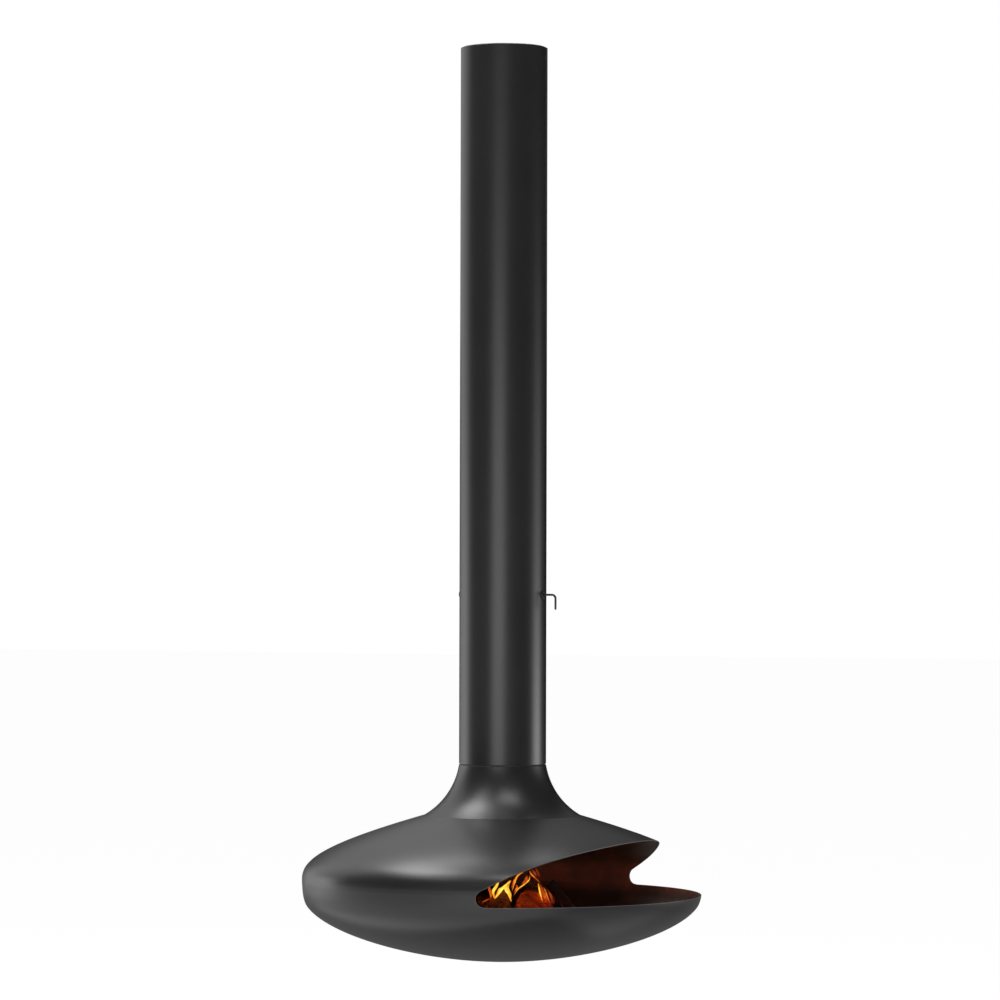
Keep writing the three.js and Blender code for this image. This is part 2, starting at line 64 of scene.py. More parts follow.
FLUE_R = 0.125
FLUE_WALL = 0.003
NECK_ARC_R = 0.205  # the neck is a hollow arc of this radius, from the flue to the hood
NECK_ARC_DEG = (9, 60)
NECK_WALL = 0.002
NECK_EDGE_R = 0.0014  # both edges of the neck are eased, which leaves a fine groove above and below it
SHELL_WALL = 0.003
RIM_R = 0.5725
RIM_Z = -2.435
HOOD_SLOPE = math.radians(16.3)  # the hood leaves the neck at this slope
HOOD_REACH = 0.418  # and holds to it over about this length
HOOD_DROP = 0.0715  # it nears the rim upright from about this far above
BOWL_Z = -2.6255
BOWL_TURN = 0.095  # the bowl leaves the rim upright for about this depth
BOWL_FLAT = 0.265  # and is nearly level from here in to its middle
RIM_EASE_UP = 0.030  # the turn at the rim is rounded from this far above its level to this far below
RIM_EASE_DOWN = 0.037
MOUTH_NOSE_R = 0.02525  # the mouth's inner end is round
MOUTH_NOSE_OUT = 0.1915
MOUTH_START_DEG = 30  # its upper edge leaves the round end at this slope
MOUTH_START_PULL = 0.110
MOUTH_END = (0.4105, -2.27575)  # from here the edge runs straight on to the tip
MOUTH_END_DEG = 19
MOUTH_END_PULL = 0.110
PILE_HEAD = math.radians(-66)  # the way in which the frame of the log pile is turned
SKIN_COLUMNS = 288
SNAP_SHARE = 0.3
LIP_BULGE = 0.0011
LIP_STEPS = 5
FLANGE_HOLE_R = 0.0034
FLANGE_BOLT_CIRCLE = 0.1123
SCREW_WAYS = [math.radians(a) for a in range(30, 360, 60)]


# ---- Camera and studio ---------------------------------------------------------------------------

VIEW_AZIMUTH = math.radians(-65.65)
TOWARDS_CAMERA = Vector((math.sin(VIEW_AZIMUTH), -math.cos(VIEW_AZIMUTH), 0))
CAMERA_RIGHT = Vector((math.cos(VIEW_AZIMUTH), math.sin(VIEW_AZIMUTH), 0))
CAMERA_DISTANCE = 13.3235
CAMERA_Z = -1.5034
CAMERA_PITCH = math.radians(0.861)
CAMERA_ROLL = math.radians(0.14)
AXIS_ASIDE = 0.0091
FOCAL_PIXELS = 4634.7
FRAME_PIXELS = 1000
SENSOR_WIDTH = 36
FLOOR_Z = -2.95

# Upright soft panels that face the flue's axis: the way each stands, in degrees to the camera's right, its
# width, its lowest and highest point, and its radiance.
PANEL_DISTANCE = 5.0
UPRIGHT_PANELS = {
    "panel_left": (-128, 4.0, -2.9, 3.2, 1.05),
    "panel_left_low": (-112, 2.4, -2.9, -1.2, 1.5),
    "panel_left_rear": (-165, 2.6, -0.6, 3.2, 0.64),
    "panel_front": (-12, 2.8, -2.7, -0.75, 3.7),
    "panel_front_low": (10, 1.8, -2.9, -2.0, 0.5),
    "panel_front_high": (-6, 3.0, -0.75, 1.0, 0.35),
    "panel_right_low": (101, 2.4, -2.9, -2.0, 7.44),
    "panel_right": (102, 2.4, -2.0, -0.6, 1.05),
    "panel_right_rear": (165, 2.6, -0.6, 3.2, 0.21),
}

# Panels overhead, turned down to the hearth: the way each hangs, its distance from the axis, its size and its
# radiance.
OVERHEAD_Z = 3.6
HEARTH_LEVEL = -2.3
OVERHEAD_PANELS = {
    "overhead_left": (-98, 2.3, (2.3, 2.5), 8.9),
    "overhead_left_rear": (-135, 3.2, (2.6, 2.0), 5.97),
    "overhead_front": (22, 2.3, (2.9, 2.2), 5.6),
    "overhead_far_left": (-60, 3.8, (2.6, 1.4), 3.76),
    "overhead_rear": (180, 3.0, (2.4, 2.0), 4.22),
}
WORLD_FILL = 0.61
FLOOR_REACH = 60
FLOOR_PAINT = 0.8
FLOOR_WHITE_SHARE = 0.965

# Flags, which show only in reflections. A black wall and ceiling close the studio off.
WALL_R = 7.5
CEILING_Z = 3.9
ROUND_STEPS = 60

# A grey cloth covers the floor behind a straight edge, which is turned to the camera's right and then moved
# forward from the axis.
GREY_CLOTH = 0.22
CLOTH_Z = FLOOR_Z + 0.01
CLOTH_EDGE_DEG = 42
CLOTH_FORWARD = 0.40

# A paler cloth lies on the grey one and lights the bowl's right side.
PALE_CLOTH = 0.56
PALE_LIFT = 0.005
PALE_ACROSS = (0.36, 1.40)
PALE_FORWARD = (-0.06, 1.10)

# A narrow black card stands round the near side, level with the rim, and keeps the rim's upper side dark.
CARD_R = 1.05
CARD_LOW, CARD_HIGH = -2.41, -2.17
CARD_FROM_DEG, CARD_TO_DEG = -85, 20


def new_mesh(name, verts, faces):
    """A mesh with the given points and faces."""
    mesh = bpy.data.meshes.new(name)
    mesh.from_pydata(verts, [], faces)
    return mesh


def place_in_scene(name, data):
    """A new object of the scene that shows the given mesh, lamp or camera."""
    made = bpy.data.objects.new(name, data)
    bpy.context.scene.collection.objects.link(made)
    return made


def studio_point(degrees, distance, height):
    """A point round the object; degrees run to the right from the camera, as the camera sees it."""
    angle = math.radians(degrees)
    flat = TOWARDS_CAMERA * math.cos(angle) + CAMERA_RIGHT * math.sin(angle)
    return flat * distance + Vector((0, 0, height))


def make_camera():
    data = bpy.data.cameras.new("camera")
    data.sensor_width = SENSOR_WIDTH
    data.lens = FOCAL_PIXELS / FRAME_PIXELS * SENSOR_WIDTH
    data.clip_end = 200
    camera = place_in_scene("camera", data)
    ahead = -TOWARDS_CAMERA * math.cos(CAMERA_PITCH) + Vector((0, 0, math.sin(CAMERA_PITCH)))
    level = ahead.to_track_quat("-Z", "Y").to_matrix().to_4x4()
    place = TOWARDS_CAMERA * CAMERA_DISTANCE - CAMERA_RIGHT * AXIS_ASIDE + Vector((0, 0, CAMERA_Z))
    camera.matrix_world = Matrix.Translation(place) @ level @ Matrix.Rotation(CAMERA_ROLL, 4, "Z")
    bpy.context.scene.camera = camera


def make_soft_panel(name, place, target, size, radiance):
    """A white area light that faces target, with the same radiance whatever its size."""
    data = bpy.data.lights.new(name, "AREA")
    data.shape = "RECTANGLE"
    data.size, data.size_y = size
    data.energy = radiance * math.pi * size[0] * size[1]
    light = place_in_scene(name, data)
    light.location = place
    light.rotation_euler = (Vector(target) - place).to_track_quat("-Z", "Y").to_euler()
    light.visible_camera = False


def make_world():
    """White to the eye and in reflections, a softer grey as a lamp."""
    world = bpy.data.worlds.new("studio")
    bpy.context.scene.world = world
    world.use_nodes = True
    nodes = world.node_tree.nodes
    nodes.clear()
    out = nodes.new("ShaderNodeOutputWorld")
    seen = add(nodes, "ShaderNodeBackground", Color=(1, 1, 1, 1))
    lit = add(nodes, "ShaderNodeBackground", Color=(1, 1, 1, 1), Strength=WORLD_FILL)
    feed(out.inputs[0], mixed(nodes, white_ray_mask(nodes), lit, seen).outputs[0])


def white_ray_mask(nodes):
    """1 for camera, glossy and transmission rays, 0 for the rest."""
    path = nodes.new("ShaderNodeLightPath")
    seen = maths(nodes, "MAXIMUM", path.outputs["Is Camera Ray"], path.outputs["Is Glossy Ray"])
    return maths(nodes, "MAXIMUM", seen, path.outputs["Is Transmission Ray"])


def make_floor():
    """A pale floor that is white to the eye and keeps a soft shadow."""
    corners = [(x * FLOOR_REACH, y * FLOOR_REACH, FLOOR_Z) for x, y in ((-1, -1), (1, -1), (1, 1), (-1, 1))]
    mesh = new_mesh("floor", corners, [(0, 1, 2, 3)])
    material = bpy.data.materials.new("pale_floor")
    material.use_nodes = True
    nodes = material.node_tree.nodes
    nodes.clear()
    out = nodes.new("ShaderNodeOutputMaterial")
    paint = add(nodes, "ShaderNodeBsdfDiffuse", Color=(FLOOR_PAINT, FLOOR_PAINT, FLOOR_PAINT, 1))
    white = nodes.new("ShaderNodeEmission")
    clear = nodes.new("ShaderNodeBsdfTransparent")
    from_below = nodes.new("ShaderNodeNewGeometry").outputs["Backfacing"]
    keep_shadow = maths(nodes, "MULTIPLY", white_ray_mask(nodes), FLOOR_WHITE_SHARE)
    whitened = mixed(nodes, keep_shadow, paint, white)
    feed(out.inputs[0], mixed(nodes, from_below, whitened, clear).outputs[0])
    mesh.materials.append(material)
    place_in_scene("floor", mesh)


def make_flag(name, points, faces, grey=0.0):
    """A studio flag: a panel, dark or grey, that only shows in reflections and tones them down."""
    mesh = new_mesh(name, points, faces)
    material, _, shader = new_material(name)
    fill(shader, {"Base Color": (0, 0, 0, 1), "Specular IOR Level": 0,
                  "Emission Color": (grey, grey, grey, 1), "Emission Strength": 1})
    mesh.materials.append(material)
    flag = place_in_scene(name, mesh)
    for ray in ("camera", "diffuse", "shadow", "transmission"):
        setattr(flag, f"visible_{ray}", False)


def make_wall_and_ceiling():
    way_round = [360 * i / ROUND_STEPS for i in range(ROUND_STEPS)]
    low_ring = [studio_point(angle, WALL_R, CLOTH_Z) for angle in way_round]
    high_ring = [studio_point(angle, WALL_R, CEILING_Z) for angle in way_round]
    pairs = [(i, (i + 1) % ROUND_STEPS) for i in range(ROUND_STEPS)]
    wall_faces = [(a, b, ROUND_STEPS + b, ROUND_STEPS + a) for a, b in pairs]
    make_flag("black_flag_round", low_ring + high_ring, wall_faces)
    make_flag("black_flag_overhead", high_ring, [tuple(range(ROUND_STEPS))])


def make_cloths():
    half_round = [CLOTH_EDGE_DEG + 180 * i / ROUND_STEPS for i in range(ROUND_STEPS + 1)]
    shift = studio_point(CLOTH_EDGE_DEG - 90, CLOTH_FORWARD, 0)
    far_half = [studio_point(angle, WALL_R, CLOTH_Z) + shift for angle in half_round]
    make_flag("grey_cloth_low", far_half, [tuple(range(len(far_half)))], GREY_CLOTH)
    rear, front = PALE_FORWARD
    near, far = PALE_ACROSS
    pale = [studio_point(0, forward, CLOTH_Z + PALE_LIFT) + studio_point(90, across, 0)
            for forward, across in ((rear, near), (rear, far), (front, far), (front, near))]
    make_flag("pale_cloth_low", pale, [tuple(range(len(pale)))], PALE_CLOTH)


def make_card():
    turn = CARD_TO_DEG - CARD_FROM_DEG
    angles = [CARD_FROM_DEG + turn * i / ROUND_STEPS for i in range(ROUND_STEPS + 1)]
    edges = [studio_point(angle, CARD_R, z) for z in (CARD_LOW, CARD_HIGH) for angle in angles]
    row = len(angles)
    make_flag("black_card_front", edges, [(i, i + 1, row + i + 1, row + i) for i in range(ROUND_STEPS)])


def make_studio():
    make_camera()
    make_world()
    make_floor()
    for name, (degrees, width, low, high, radiance) in UPRIGHT_PANELS.items():
        middle = (low + high) / 2
        place = studio_point(degrees, PANEL_DISTANCE, middle)
        make_soft_panel(name, place, (0, 0, middle), (width, high - low), radiance)
    for name, (degrees, distance, size, radiance) in OVERHEAD_PANELS.items():
        place = studio_point(degrees, distance, OVERHEAD_Z)
        make_soft_panel(name, place, (0, 0, HEARTH_LEVEL), size, radiance)
    make_wall_and_ceiling()
    make_cloths()
    make_card()


# ---- Node helpers --------------------------------------------------------------------------------

def add(nodes, kind, **values):
    """A node with its plain settings and its unlinked inputs filled in."""
    node = nodes.new(kind)
    for key, value in values.items():
        if key in node.inputs:
            node.inputs[key].default_value = value
        else:
            setattr(node, key, value)
    return node


def new_group(name, inputs, outputs):
    """An empty shader node group with float, colour and vector sockets, each as (name, kind, default)."""
    group = bpy.data.node_groups.new(name, "ShaderNodeTree")
    kinds = {"float": "NodeSocketFloat", "colour": "NodeSocketColor", "vector": "NodeSocketVector"}
    for direction, sockets in (("INPUT", inputs), ("OUTPUT", outputs)):
        for label, kind, default in sockets:
            socket = group.interface.new_socket(label, in_out=direction, socket_type=kinds[kind])
            if direction == "INPUT" and default is not None:
                socket.default_value = default
    entry = group.nodes.new("NodeGroupInput")
    leave = group.nodes.new("NodeGroupOutput")
    return group, entry, leave


def feed(socket, value):
    """Links an input to another socket, or sets it to a plain value."""
    if isinstance(value, bpy.types.NodeSocket):
        socket.id_data.links.new(value, socket)
    else:
        socket.default_value = value


def fill(shader, values):
    """Feeds several inputs of a shader, given by name."""
    for name, value in values.items():
        feed(shader.inputs[name], value)


def mixed(nodes, share, low, high):
    """Mixes the shaders of two nodes, from low at share 0 to high at 1."""
    mix = nodes.new("ShaderNodeMixShader")
    for socket, value in zip(mix.inputs, (share, low.outputs[0], high.outputs[0])):
        feed(socket, value)
    return mix


def blend_colour(nodes, factor, low, high, mode="MIX"):
    """Mixes two colours; each argument is a socket or a plain value."""
    mix = nodes.new("ShaderNodeMix")
    mix.data_type = "RGBA"
    mix.blend_type = mode
    for socket, value in ((mix.inputs[0], factor), (mix.inputs[6], low), (mix.inputs[7], high)):
        feed(socket, value)
    return mix.outputs[2]


def maths(nodes, operation, *values, clamp=False):
    """The result of one calculation; each value is a socket or a plain number."""
    node = nodes.new("ShaderNodeMath")
    node.operation = operation
    node.use_clamp = clamp
    for socket, value in zip(node.inputs, values):
        feed(socket, value)
    return node.outputs[0]


def rise_over(nodes, value, start, reach):
    """0 up to start, 1 from reach beyond it, and an even rise between them."""
    return maths(nodes, "DIVIDE", maths(nodes, "SUBTRACT", value, start), reach, clamp=True)


def noise_at(nodes, vector, scale, detail=4.0, roughness=0.5):
    """Cloudy noise in the space of the given vector."""
    texture = add(nodes, "ShaderNodeTexNoise", Scale=scale, Detail=detail, Roughness=roughness)
    feed(texture.inputs["Vector"], vector)
    return texture.outputs["Fac"]


def ramp(nodes, value, stops):
    """A colour ramp through (place, colour or grey) stops."""
    node = nodes.new("ShaderNodeValToRGB")
    elements = node.color_ramp.elements
    while len(elements) < len(stops):
        elements.new(0.5)
    for element, (place, shade) in zip(elements, stops):
        element.position = place
        element.color = (*shade, 1) if isinstance(shade, tuple) else (shade, shade, shade, 1)
    feed(node.inputs[0], value)
    return node.outputs["Color"]


# ---- Shared surface effects ----------------------------------------------------------------------

def build_coat_grain():
    """The dry texture of a coating: wandering roughness, a height for the bump and a shade for the colour."""
    group, entry, leave = new_group(
        "coat_grain",
        [("Roughness", "float", 0.4), ("Wander", "float", 0.05), ("Grain Scale", "float", 900.0)],
        [("Roughness", "float", None), ("Height", "float", None), ("Shade", "float", None)])
    nodes = group.nodes
    wander = entry.outputs["Wander"]
    place = nodes.new("ShaderNodeTexCoord").outputs["Object"]
    cloud = noise_at(nodes, place, 6.0, detail=3.0)
    fine = add(nodes, "ShaderNodeTexNoise", Detail=2.0)
    feed(fine.inputs["Vector"], place)
    feed(fine.inputs["Scale"], entry.outputs["Grain Scale"])
    middle = maths(nodes, "SUBTRACT", cloud, 0.5)
    swing = maths(nodes, "MULTIPLY", middle, wander)
    speck = maths(nodes, "SUBTRACT", fine.outputs["Fac"], 0.5)
    small = maths(nodes, "MULTIPLY", speck, maths(nodes, "MULTIPLY", wander, 0.8))
    change = maths(nodes, "ADD", swing, small)
    feed(leave.inputs["Roughness"], maths(nodes, "ADD", entry.outputs["Roughness"], change))
    feed(leave.inputs["Height"], fine.outputs["Fac"])
    feed(leave.inputs["Shade"], cloud)
    return group


def build_soot():
    """Soot that gathers in clouds: a mask from 0, clean, to 1, black."""
    group, entry, leave = new_group(
        "soot", [("Amount", "float", 0.6), ("Patch Scale", "float", 9.0)], [("Mask", "float", None)])
    nodes = group.nodes
    place = nodes.new("ShaderNodeTexCoord").outputs["Object"]
    wide = add(nodes, "ShaderNodeTexNoise", Detail=6.0, Roughness=0.65)
    feed(wide.inputs["Vector"], place)
    feed(wide.inputs["Scale"], entry.outputs["Patch Scale"])
    lifted = maths(nodes, "ADD", wide.outputs["Fac"], entry.outputs["Amount"])
    mask = maths(nodes, "SUBTRACT", lifted, 0.55)
    feed(leave.inputs["Mask"], maths(nodes, "MULTIPLY", mask, 2.2, clamp=True))
    return group


def new_material(name):
    material = bpy.data.materials.new(name)
    material.use_nodes = True
    shader = material.node_tree.nodes["Principled BSDF"]
    return material, material.node_tree.nodes, shader


def place_group(nodes, group, **values):
    """A shared effect in a material, with its inputs given by name."""
    node = nodes.new("ShaderNodeGroup")
    node.node_tree = group
    for key, value in values.items():
        node.inputs[key.replace("_", " ").title()].default_value = value
    return node


def bump_from(nodes, height, strength, distance, shader):
    """Lets a height tilt the light on a shader, without moving the surface."""
    bump = add(nodes, "ShaderNodeBump", Strength=strength, Distance=distance)
    feed(bump.inputs["Height"], height)
    feed(shader.inputs["Normal"], bump.outputs["Normal"])


def new_coat(name, roughness, wander, grain_scale, bump=None):
    """A material with the texture of a dry coating, given back with its nodes, its shader and its grain."""
    material, nodes, shader = new_material(name)
    grain = place_group(nodes, COAT_GRAIN, roughness=roughness, wander=wander, grain_scale=grain_scale)
    feed(shader.inputs["Roughness"], grain.outputs["Roughness"])
    if bump:
        bump_from(nodes, grain.outputs["Height"], *bump, shader)
    return material, nodes, shader, grain


def under_soot(nodes, amount, patch_scale, clean, sooted):
    """A colour that soot covers in patches."""
    soot = place_group(nodes, SOOT, amount=amount, patch_scale=patch_scale)
    return blend_colour(nodes, soot.outputs["Mask"], clean, sooted)


def black_paint():
    """Heat-proof black paint with a soft satin sheen."""
    material, nodes, shader, grain = new_coat("satin_black_paint", 0.35, 0.05, 1100.0, bump=(0.10, 0.0003))
    tint = blend_colour(nodes, grain.outputs["Shade"],
                        (0.0100, 0.0100, 0.0104, 1), (0.0138, 0.0138, 0.0142, 1))
    feed(shader.inputs["Base Color"], tint)
    return material


def edge_paint_with_painted_highlight():
    """The paint on the cut edge of the sheet, made lighter than the rest as a painted highlight, so that the
    edge shows as a fine lighter line.
    """
    material, nodes, shader, grain = new_coat("edge_paint_with_painted_highlight", 0.42, 0.05, 1100.0)
    tint = blend_colour(nodes, grain.outputs["Shade"], (0.054, 0.053, 0.052, 1), (0.080, 0.079, 0.078, 1))
    feed(shader.inputs["Base Color"], tint)
    return material


def soot_and_painted_glow_paint():
    """The same paint inside the hearth: brown, darker in patches of soot, with the fire's glow painted on as
    a redder, lighter band, and painted light, a pale grey, at the mouth's tip.
    """
    painted_glow_low, painted_glow_reach = -2.50, 0.16
    tip_out, tip_reach = 0.37, 0.07
    tip_low, tip_rise = -2.37, 0.03
    material, nodes, shader, _ = new_coat("soot_and_painted_glow_paint", 0.58, 0.12, 420.0, bump=(0.2, 0.0006))
    tint = under_soot(nodes, 0.45, 7.0, (0.085, 0.034, 0.020, 1), (0.028, 0.015, 0.010, 1))
    place = nodes.new("ShaderNodeTexCoord").outputs["Object"]
    split = nodes.new("ShaderNodeSeparateXYZ")
    feed(split.inputs[0], place)
    # Painted glow: the fire's light on the inner wall, painted into the colour as a redder, lighter band at
    # these heights.
    level = rise_over(nodes, split.outputs["Z"], painted_glow_low, painted_glow_reach)
    band = ramp(nodes, level, [(0.0, 0.0), (0.26, 0.0), (0.45, 1.0), (0.62, 1.0), (0.84, 0.0)])
    painted_glow_colour = blend_colour(nodes, 1.0, tint, (3.4, 2.1, 2.3, 1), mode="MULTIPLY")
    with_painted_glow = blend_colour(nodes, band, tint, painted_glow_colour)
    # Painted light: the inside turns pale grey towards the mouth's tip on the camera's right.
    across = nodes.new("ShaderNodeVectorMath")
    across.operation = "DOT_PRODUCT"
    across.inputs[1].default_value = CAMERA_RIGHT
    feed(across.inputs[0], place)
    painted_tip_light = maths(nodes, "MULTIPLY",
                     rise_over(nodes, across.outputs["Value"], tip_out, tip_reach),
                     rise_over(nodes, split.outputs["Z"], tip_low, tip_rise))
    tone = blend_colour(nodes, painted_tip_light, with_painted_glow, (0.085, 0.080, 0.078, 1))
    feed(shader.inputs["Base Color"], tone)
    return material


def bare_steel():
    """Plain mild steel with faint turning marks and a trace of smoke."""
    material, nodes, shader, _ = new_coat("bare_steel", 0.38, 0.2, 650.0, bump=(0.15, 0.0002))
    tint = under_soot(nodes, 0.18, 24.0, (0.42, 0.42, 0.43, 1), (0.16, 0.14, 0.12, 1))
    fill(shader, {"Base Color": tint, "Metallic": 0.9})
    return material


def cast_iron():
    """Sand-cast iron, grey and pitted under soot."""
    material, nodes, shader, _ = new_coat("cast_iron", 0.7, 0.25, 260.0, bump=(0.5, 0.001))
    tint = under_soot(nodes, 0.3, 30.0, (0.052, 0.048, 0.045, 1), (0.012, 0.011, 0.010, 1))
    fill(shader, {"Base Color": tint, "Metallic": 0.35})
    return material


def firebrick():
    """Dry refractory brick, sandy and blackened by smoke."""
    material, nodes, shader, grain = new_coat("firebrick", 0.92, 0.1, 380.0, bump=(0.6, 0.001))
    sand = blend_colour(nodes, grain.outputs["Height"], (0.24, 0.17, 0.11, 1), (0.36, 0.28, 0.19, 1))
    feed(shader.inputs["Base Color"], under_soot(nodes, 0.42, 11.0, sand, (0.030, 0.024, 0.020, 1)))
    return material


def glass_fibre():
    """Woven glass-fibre packing."""
    material, nodes, shader = new_material("glass_fibre")
    place = nodes.new("ShaderNodeTexCoord").outputs["Object"]
    weave = add(nodes, "ShaderNodeTexWave", Scale=260.0, Distortion=1.5)
    feed(weave.inputs["Vector"], place)
    tint = blend_colour(nodes, weave.outputs["Fac"], (0.34, 0.31, 0.26, 1), (0.56, 0.53, 0.47, 1))
    fill(shader, {"Base Color": tint, "Roughness": 0.95})
    bump_from(nodes, weave.outputs["Fac"], 0.5, 0.0006, shader)
    return material


def build_wood_grain():
    """Fibres along X, with darker streaks: a shade from 0 to 1 and a height."""
    group, entry, leave = new_group(
        "wood_grain", [("Fineness", "float", 1.0)], [("Shade", "float", None), ("Height", "float", None)])
    nodes = group.nodes
    place = nodes.new("ShaderNodeUVMap").outputs["UV"]
    stretch = add(nodes, "ShaderNodeMapping", Scale=(3.0, 46.0, 1.0))
    feed(stretch.inputs["Vector"], place)
    streak = noise_at(nodes, stretch.outputs["Vector"], 1.0, detail=7.0, roughness=0.62)
    wide = add(nodes, "ShaderNodeMapping", Scale=(1.2, 9.0, 1.0))
    feed(wide.inputs["Vector"], place)
    band = noise_at(nodes, wide.outputs["Vector"], 1.0, detail=3.0)
    both = maths(nodes, "ADD", maths(nodes, "MULTIPLY", streak, 0.65),
                 maths(nodes, "MULTIPLY", band, 0.35))
    sharp = maths(nodes, "MULTIPLY", maths(nodes, "SUBTRACT", both, 0.32),
                  maths(nodes, "MULTIPLY", entry.outputs["Fineness"], 2.8), clamp=True)
    feed(leave.inputs["Shade"], sharp)
    feed(leave.inputs["Height"], streak)
    return group


def burning_wood(name, fibre_stops, char, glow):
    """Split firewood in the fire: fibres in the given colours, charred in patches, with edges that glow."""
    material, nodes, shader = new_material(name)
    grain = place_group(nodes, WOOD_GRAIN, fineness=1.0)
    fibre = ramp(nodes, grain.outputs["Shade"], fibre_stops)
    colour = under_soot(nodes, char, 13.0, fibre, (0.010, 0.008, 0.008, 1))
    place = nodes.new("ShaderNodeTexCoord").outputs["Object"]
    hot = noise_at(nodes, place, 17.0, detail=5.0, roughness=0.7)
    line = maths(nodes, "ABSOLUTE", maths(nodes, "SUBTRACT", hot, 0.5))
    thin = maths(nodes, "SUBTRACT", 1.0, maths(nodes, "MULTIPLY", line, 30.0), clamp=True)
    cloud = maths(nodes, "SUBTRACT", noise_at(nodes, place, 7.0), 0.5)
    patch = maths(nodes, "MULTIPLY", cloud, 6.0, clamp=True)
    heat = maths(nodes, "MULTIPLY", thin, patch)
    embers = ramp(nodes, heat, [(0.0, 0.0), (0.5, (0.4, 0.045, 0.003)), (1.0, (0.9, 0.25, 0.03))])
    fill(shader, {"Base Color": colour, "Roughness": 0.85, "Specular IOR Level": 0.05,
                  "Emission Color": embers, "Emission Strength": glow})
    bump_from(nodes, grain.outputs["Height"], 0.7, 0.002, shader)
    return material


def toned_for_eye(nodes, colour, share):
    """A colour of light that keeps only a share of its strength where the camera looks straight at it."""
    looked_at = nodes.new("ShaderNodeLightPath").outputs["Is Camera Ray"]
    dimmed = blend_colour(nodes, 1.0, colour, (share, share, share, 1), mode="MULTIPLY")
    return blend_colour(nodes, looked_at, colour, dimmed)


def hot_embers():
    """Charcoal lumps, ash-grey outside and glowing in their cracks."""
    material, nodes, shader = new_material("hot_embers")
    place = nodes.new("ShaderNodeTexCoord").outputs["Object"]
    cell = noise_at(nodes, place, 60.0, detail=5.0, roughness=0.7)
    ash = blend_colour(nodes, cell, (0.012, 0.010, 0.009, 1), (0.16, 0.13, 0.11, 1))
    lump = maths(nodes, "SUBTRACT", noise_at(nodes, place, 26.0, detail=3.0), 0.47)
    heat = maths(nodes, "MULTIPLY", lump, 7.0, clamp=True)
    glow = ramp(nodes, heat, [(0.0, 0.0), (0.4, (0.45, 0.035, 0.002)), (1.0, (1.0, 0.36, 0.05))])
    fill(shader, {"Base Color": ash, "Roughness": 0.95,
                  "Emission Color": toned_for_eye(nodes, glow, 0.16), "Emission Strength": 16.0})
    bump_from(nodes, cell, 0.8, 0.003, shader)
    return material


def grey_ash():
    """Fine wood ash that has settled on the bricks."""
    material, nodes, shader = new_material("grey_ash")
    place = nodes.new("ShaderNodeTexCoord").outputs["Object"]
    flake = noise_at(nodes, place, 120.0, detail=6.0, roughness=0.7)
    tint = blend_colour(nodes, flake, (0.035, 0.031, 0.028, 1), (0.30, 0.28, 0.26, 1))
    fill(shader, {"Base Color": tint, "Roughness": 1.0})
    bump_from(nodes, flake, 0.9, 0.002, shader)
    return material


def flame():
    """Thin licks of fire: cream-yellow where they are thick, orange towards their ends, red at the tips."""
    material, nodes, shader = new_material("flame")
    uv = nodes.new("ShaderNodeUVMap").outputs["UV"]
    split = nodes.new("ShaderNodeSeparateXYZ")
    feed(split.inputs[0], uv)
    heat, along = split.outputs["X"], split.outputs["Y"]
    place = nodes.new("ShaderNodeTexCoord").outputs["Object"]
    shiver = maths(nodes, "SUBTRACT", noise_at(nodes, place, 75.0), 0.5)
    flicker = maths(nodes, "MULTIPLY", shiver, 0.7)
    off_middle = maths(nodes, "ABSOLUTE", maths(nodes, "SUBTRACT", along, 0.5))
    ends = maths(nodes, "MULTIPLY", off_middle, 2.0)
    fall = maths(nodes, "MULTIPLY", maths(nodes, "POWER", ends, 2.5), 0.45)
    warmth = maths(nodes, "SUBTRACT", maths(nodes, "ADD", heat, flicker), fall, clamp=True)
    colour = ramp(nodes, warmth, [
        (0.0, (0.10, 0.008, 0.002)), (0.3, (0.40, 0.055, 0.007)), (0.55, (0.85, 0.24, 0.02)),
        (0.8, (1.0, 0.58, 0.04)), (1.0, (1.0, 0.80, 0.16))])
    edge = add(nodes, "ShaderNodeLayerWeight", Blend=0.35)
    haze = maths(nodes, "POWER", edge.outputs["Facing"], 1.6)
    body = maths(nodes, "SUBTRACT", 1.0, haze, clamp=True)
    thickness = maths(nodes, "MULTIPLY", maths(nodes, "ADD", warmth, 0.25), 1.5, clamp=True)
    fill(shader, {"Base Color": (0, 0, 0, 1), "Specular IOR Level": 0,
                  "Alpha": maths(nodes, "MULTIPLY", body, thickness),
                  "Emission Color": toned_for_eye(nodes, colour, 0.085), "Emission Strength": 14.0})
    return material


# ---- Mesh helpers --------------------------------------------------------------------------------

def piece(name, verts, faces, materials, body, replaces=(), smooth=True, face_material=None):
    """A mesh piece that rides on a body, in place of the nodes that it stands for."""
    mesh = new_mesh(name, [tuple(v) for v in verts], faces)
    for material in materials:
        mesh.materials.append(material)
    if face_material is not None:
        mesh.polygons.foreach_set("material_index", face_material)
    mesh.polygons.foreach_set("use_smooth", [smooth] * len(mesh.polygons))
    mesh.update()
    made = place_in_scene(name, mesh)
    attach(made, body)
    if replaces:
        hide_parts(*replaces)
    return made


def eased(corners, radius, steps=3):
    """A closed profile with every corner rounded to radius, or to what its sides allow."""
    made = []
    count = len(corners)
    for i in range(count):
        before, here, after = (Vector(corners[(i + k) % count]) for k in (-1, 0, 1))
        back, ahead = before - here, after - here
        reach = min(radius, back.length * 0.45, ahead.length * 0.45)
        start, end = here + back.normalized() * reach, here + ahead.normalized() * reach
        for k in range(steps + 1):
            t = k / steps
            made.append((start * (1 - t) + here * t) * (1 - t) + (here * (1 - t) + end * t) * t)
    return made


def round_ways(count):
    """Evenly spaced directions round a circle, each as (cosine, sine)."""
    return [(math.cos(math.tau * k / count), math.sin(math.tau * k / count)) for k in range(count)]


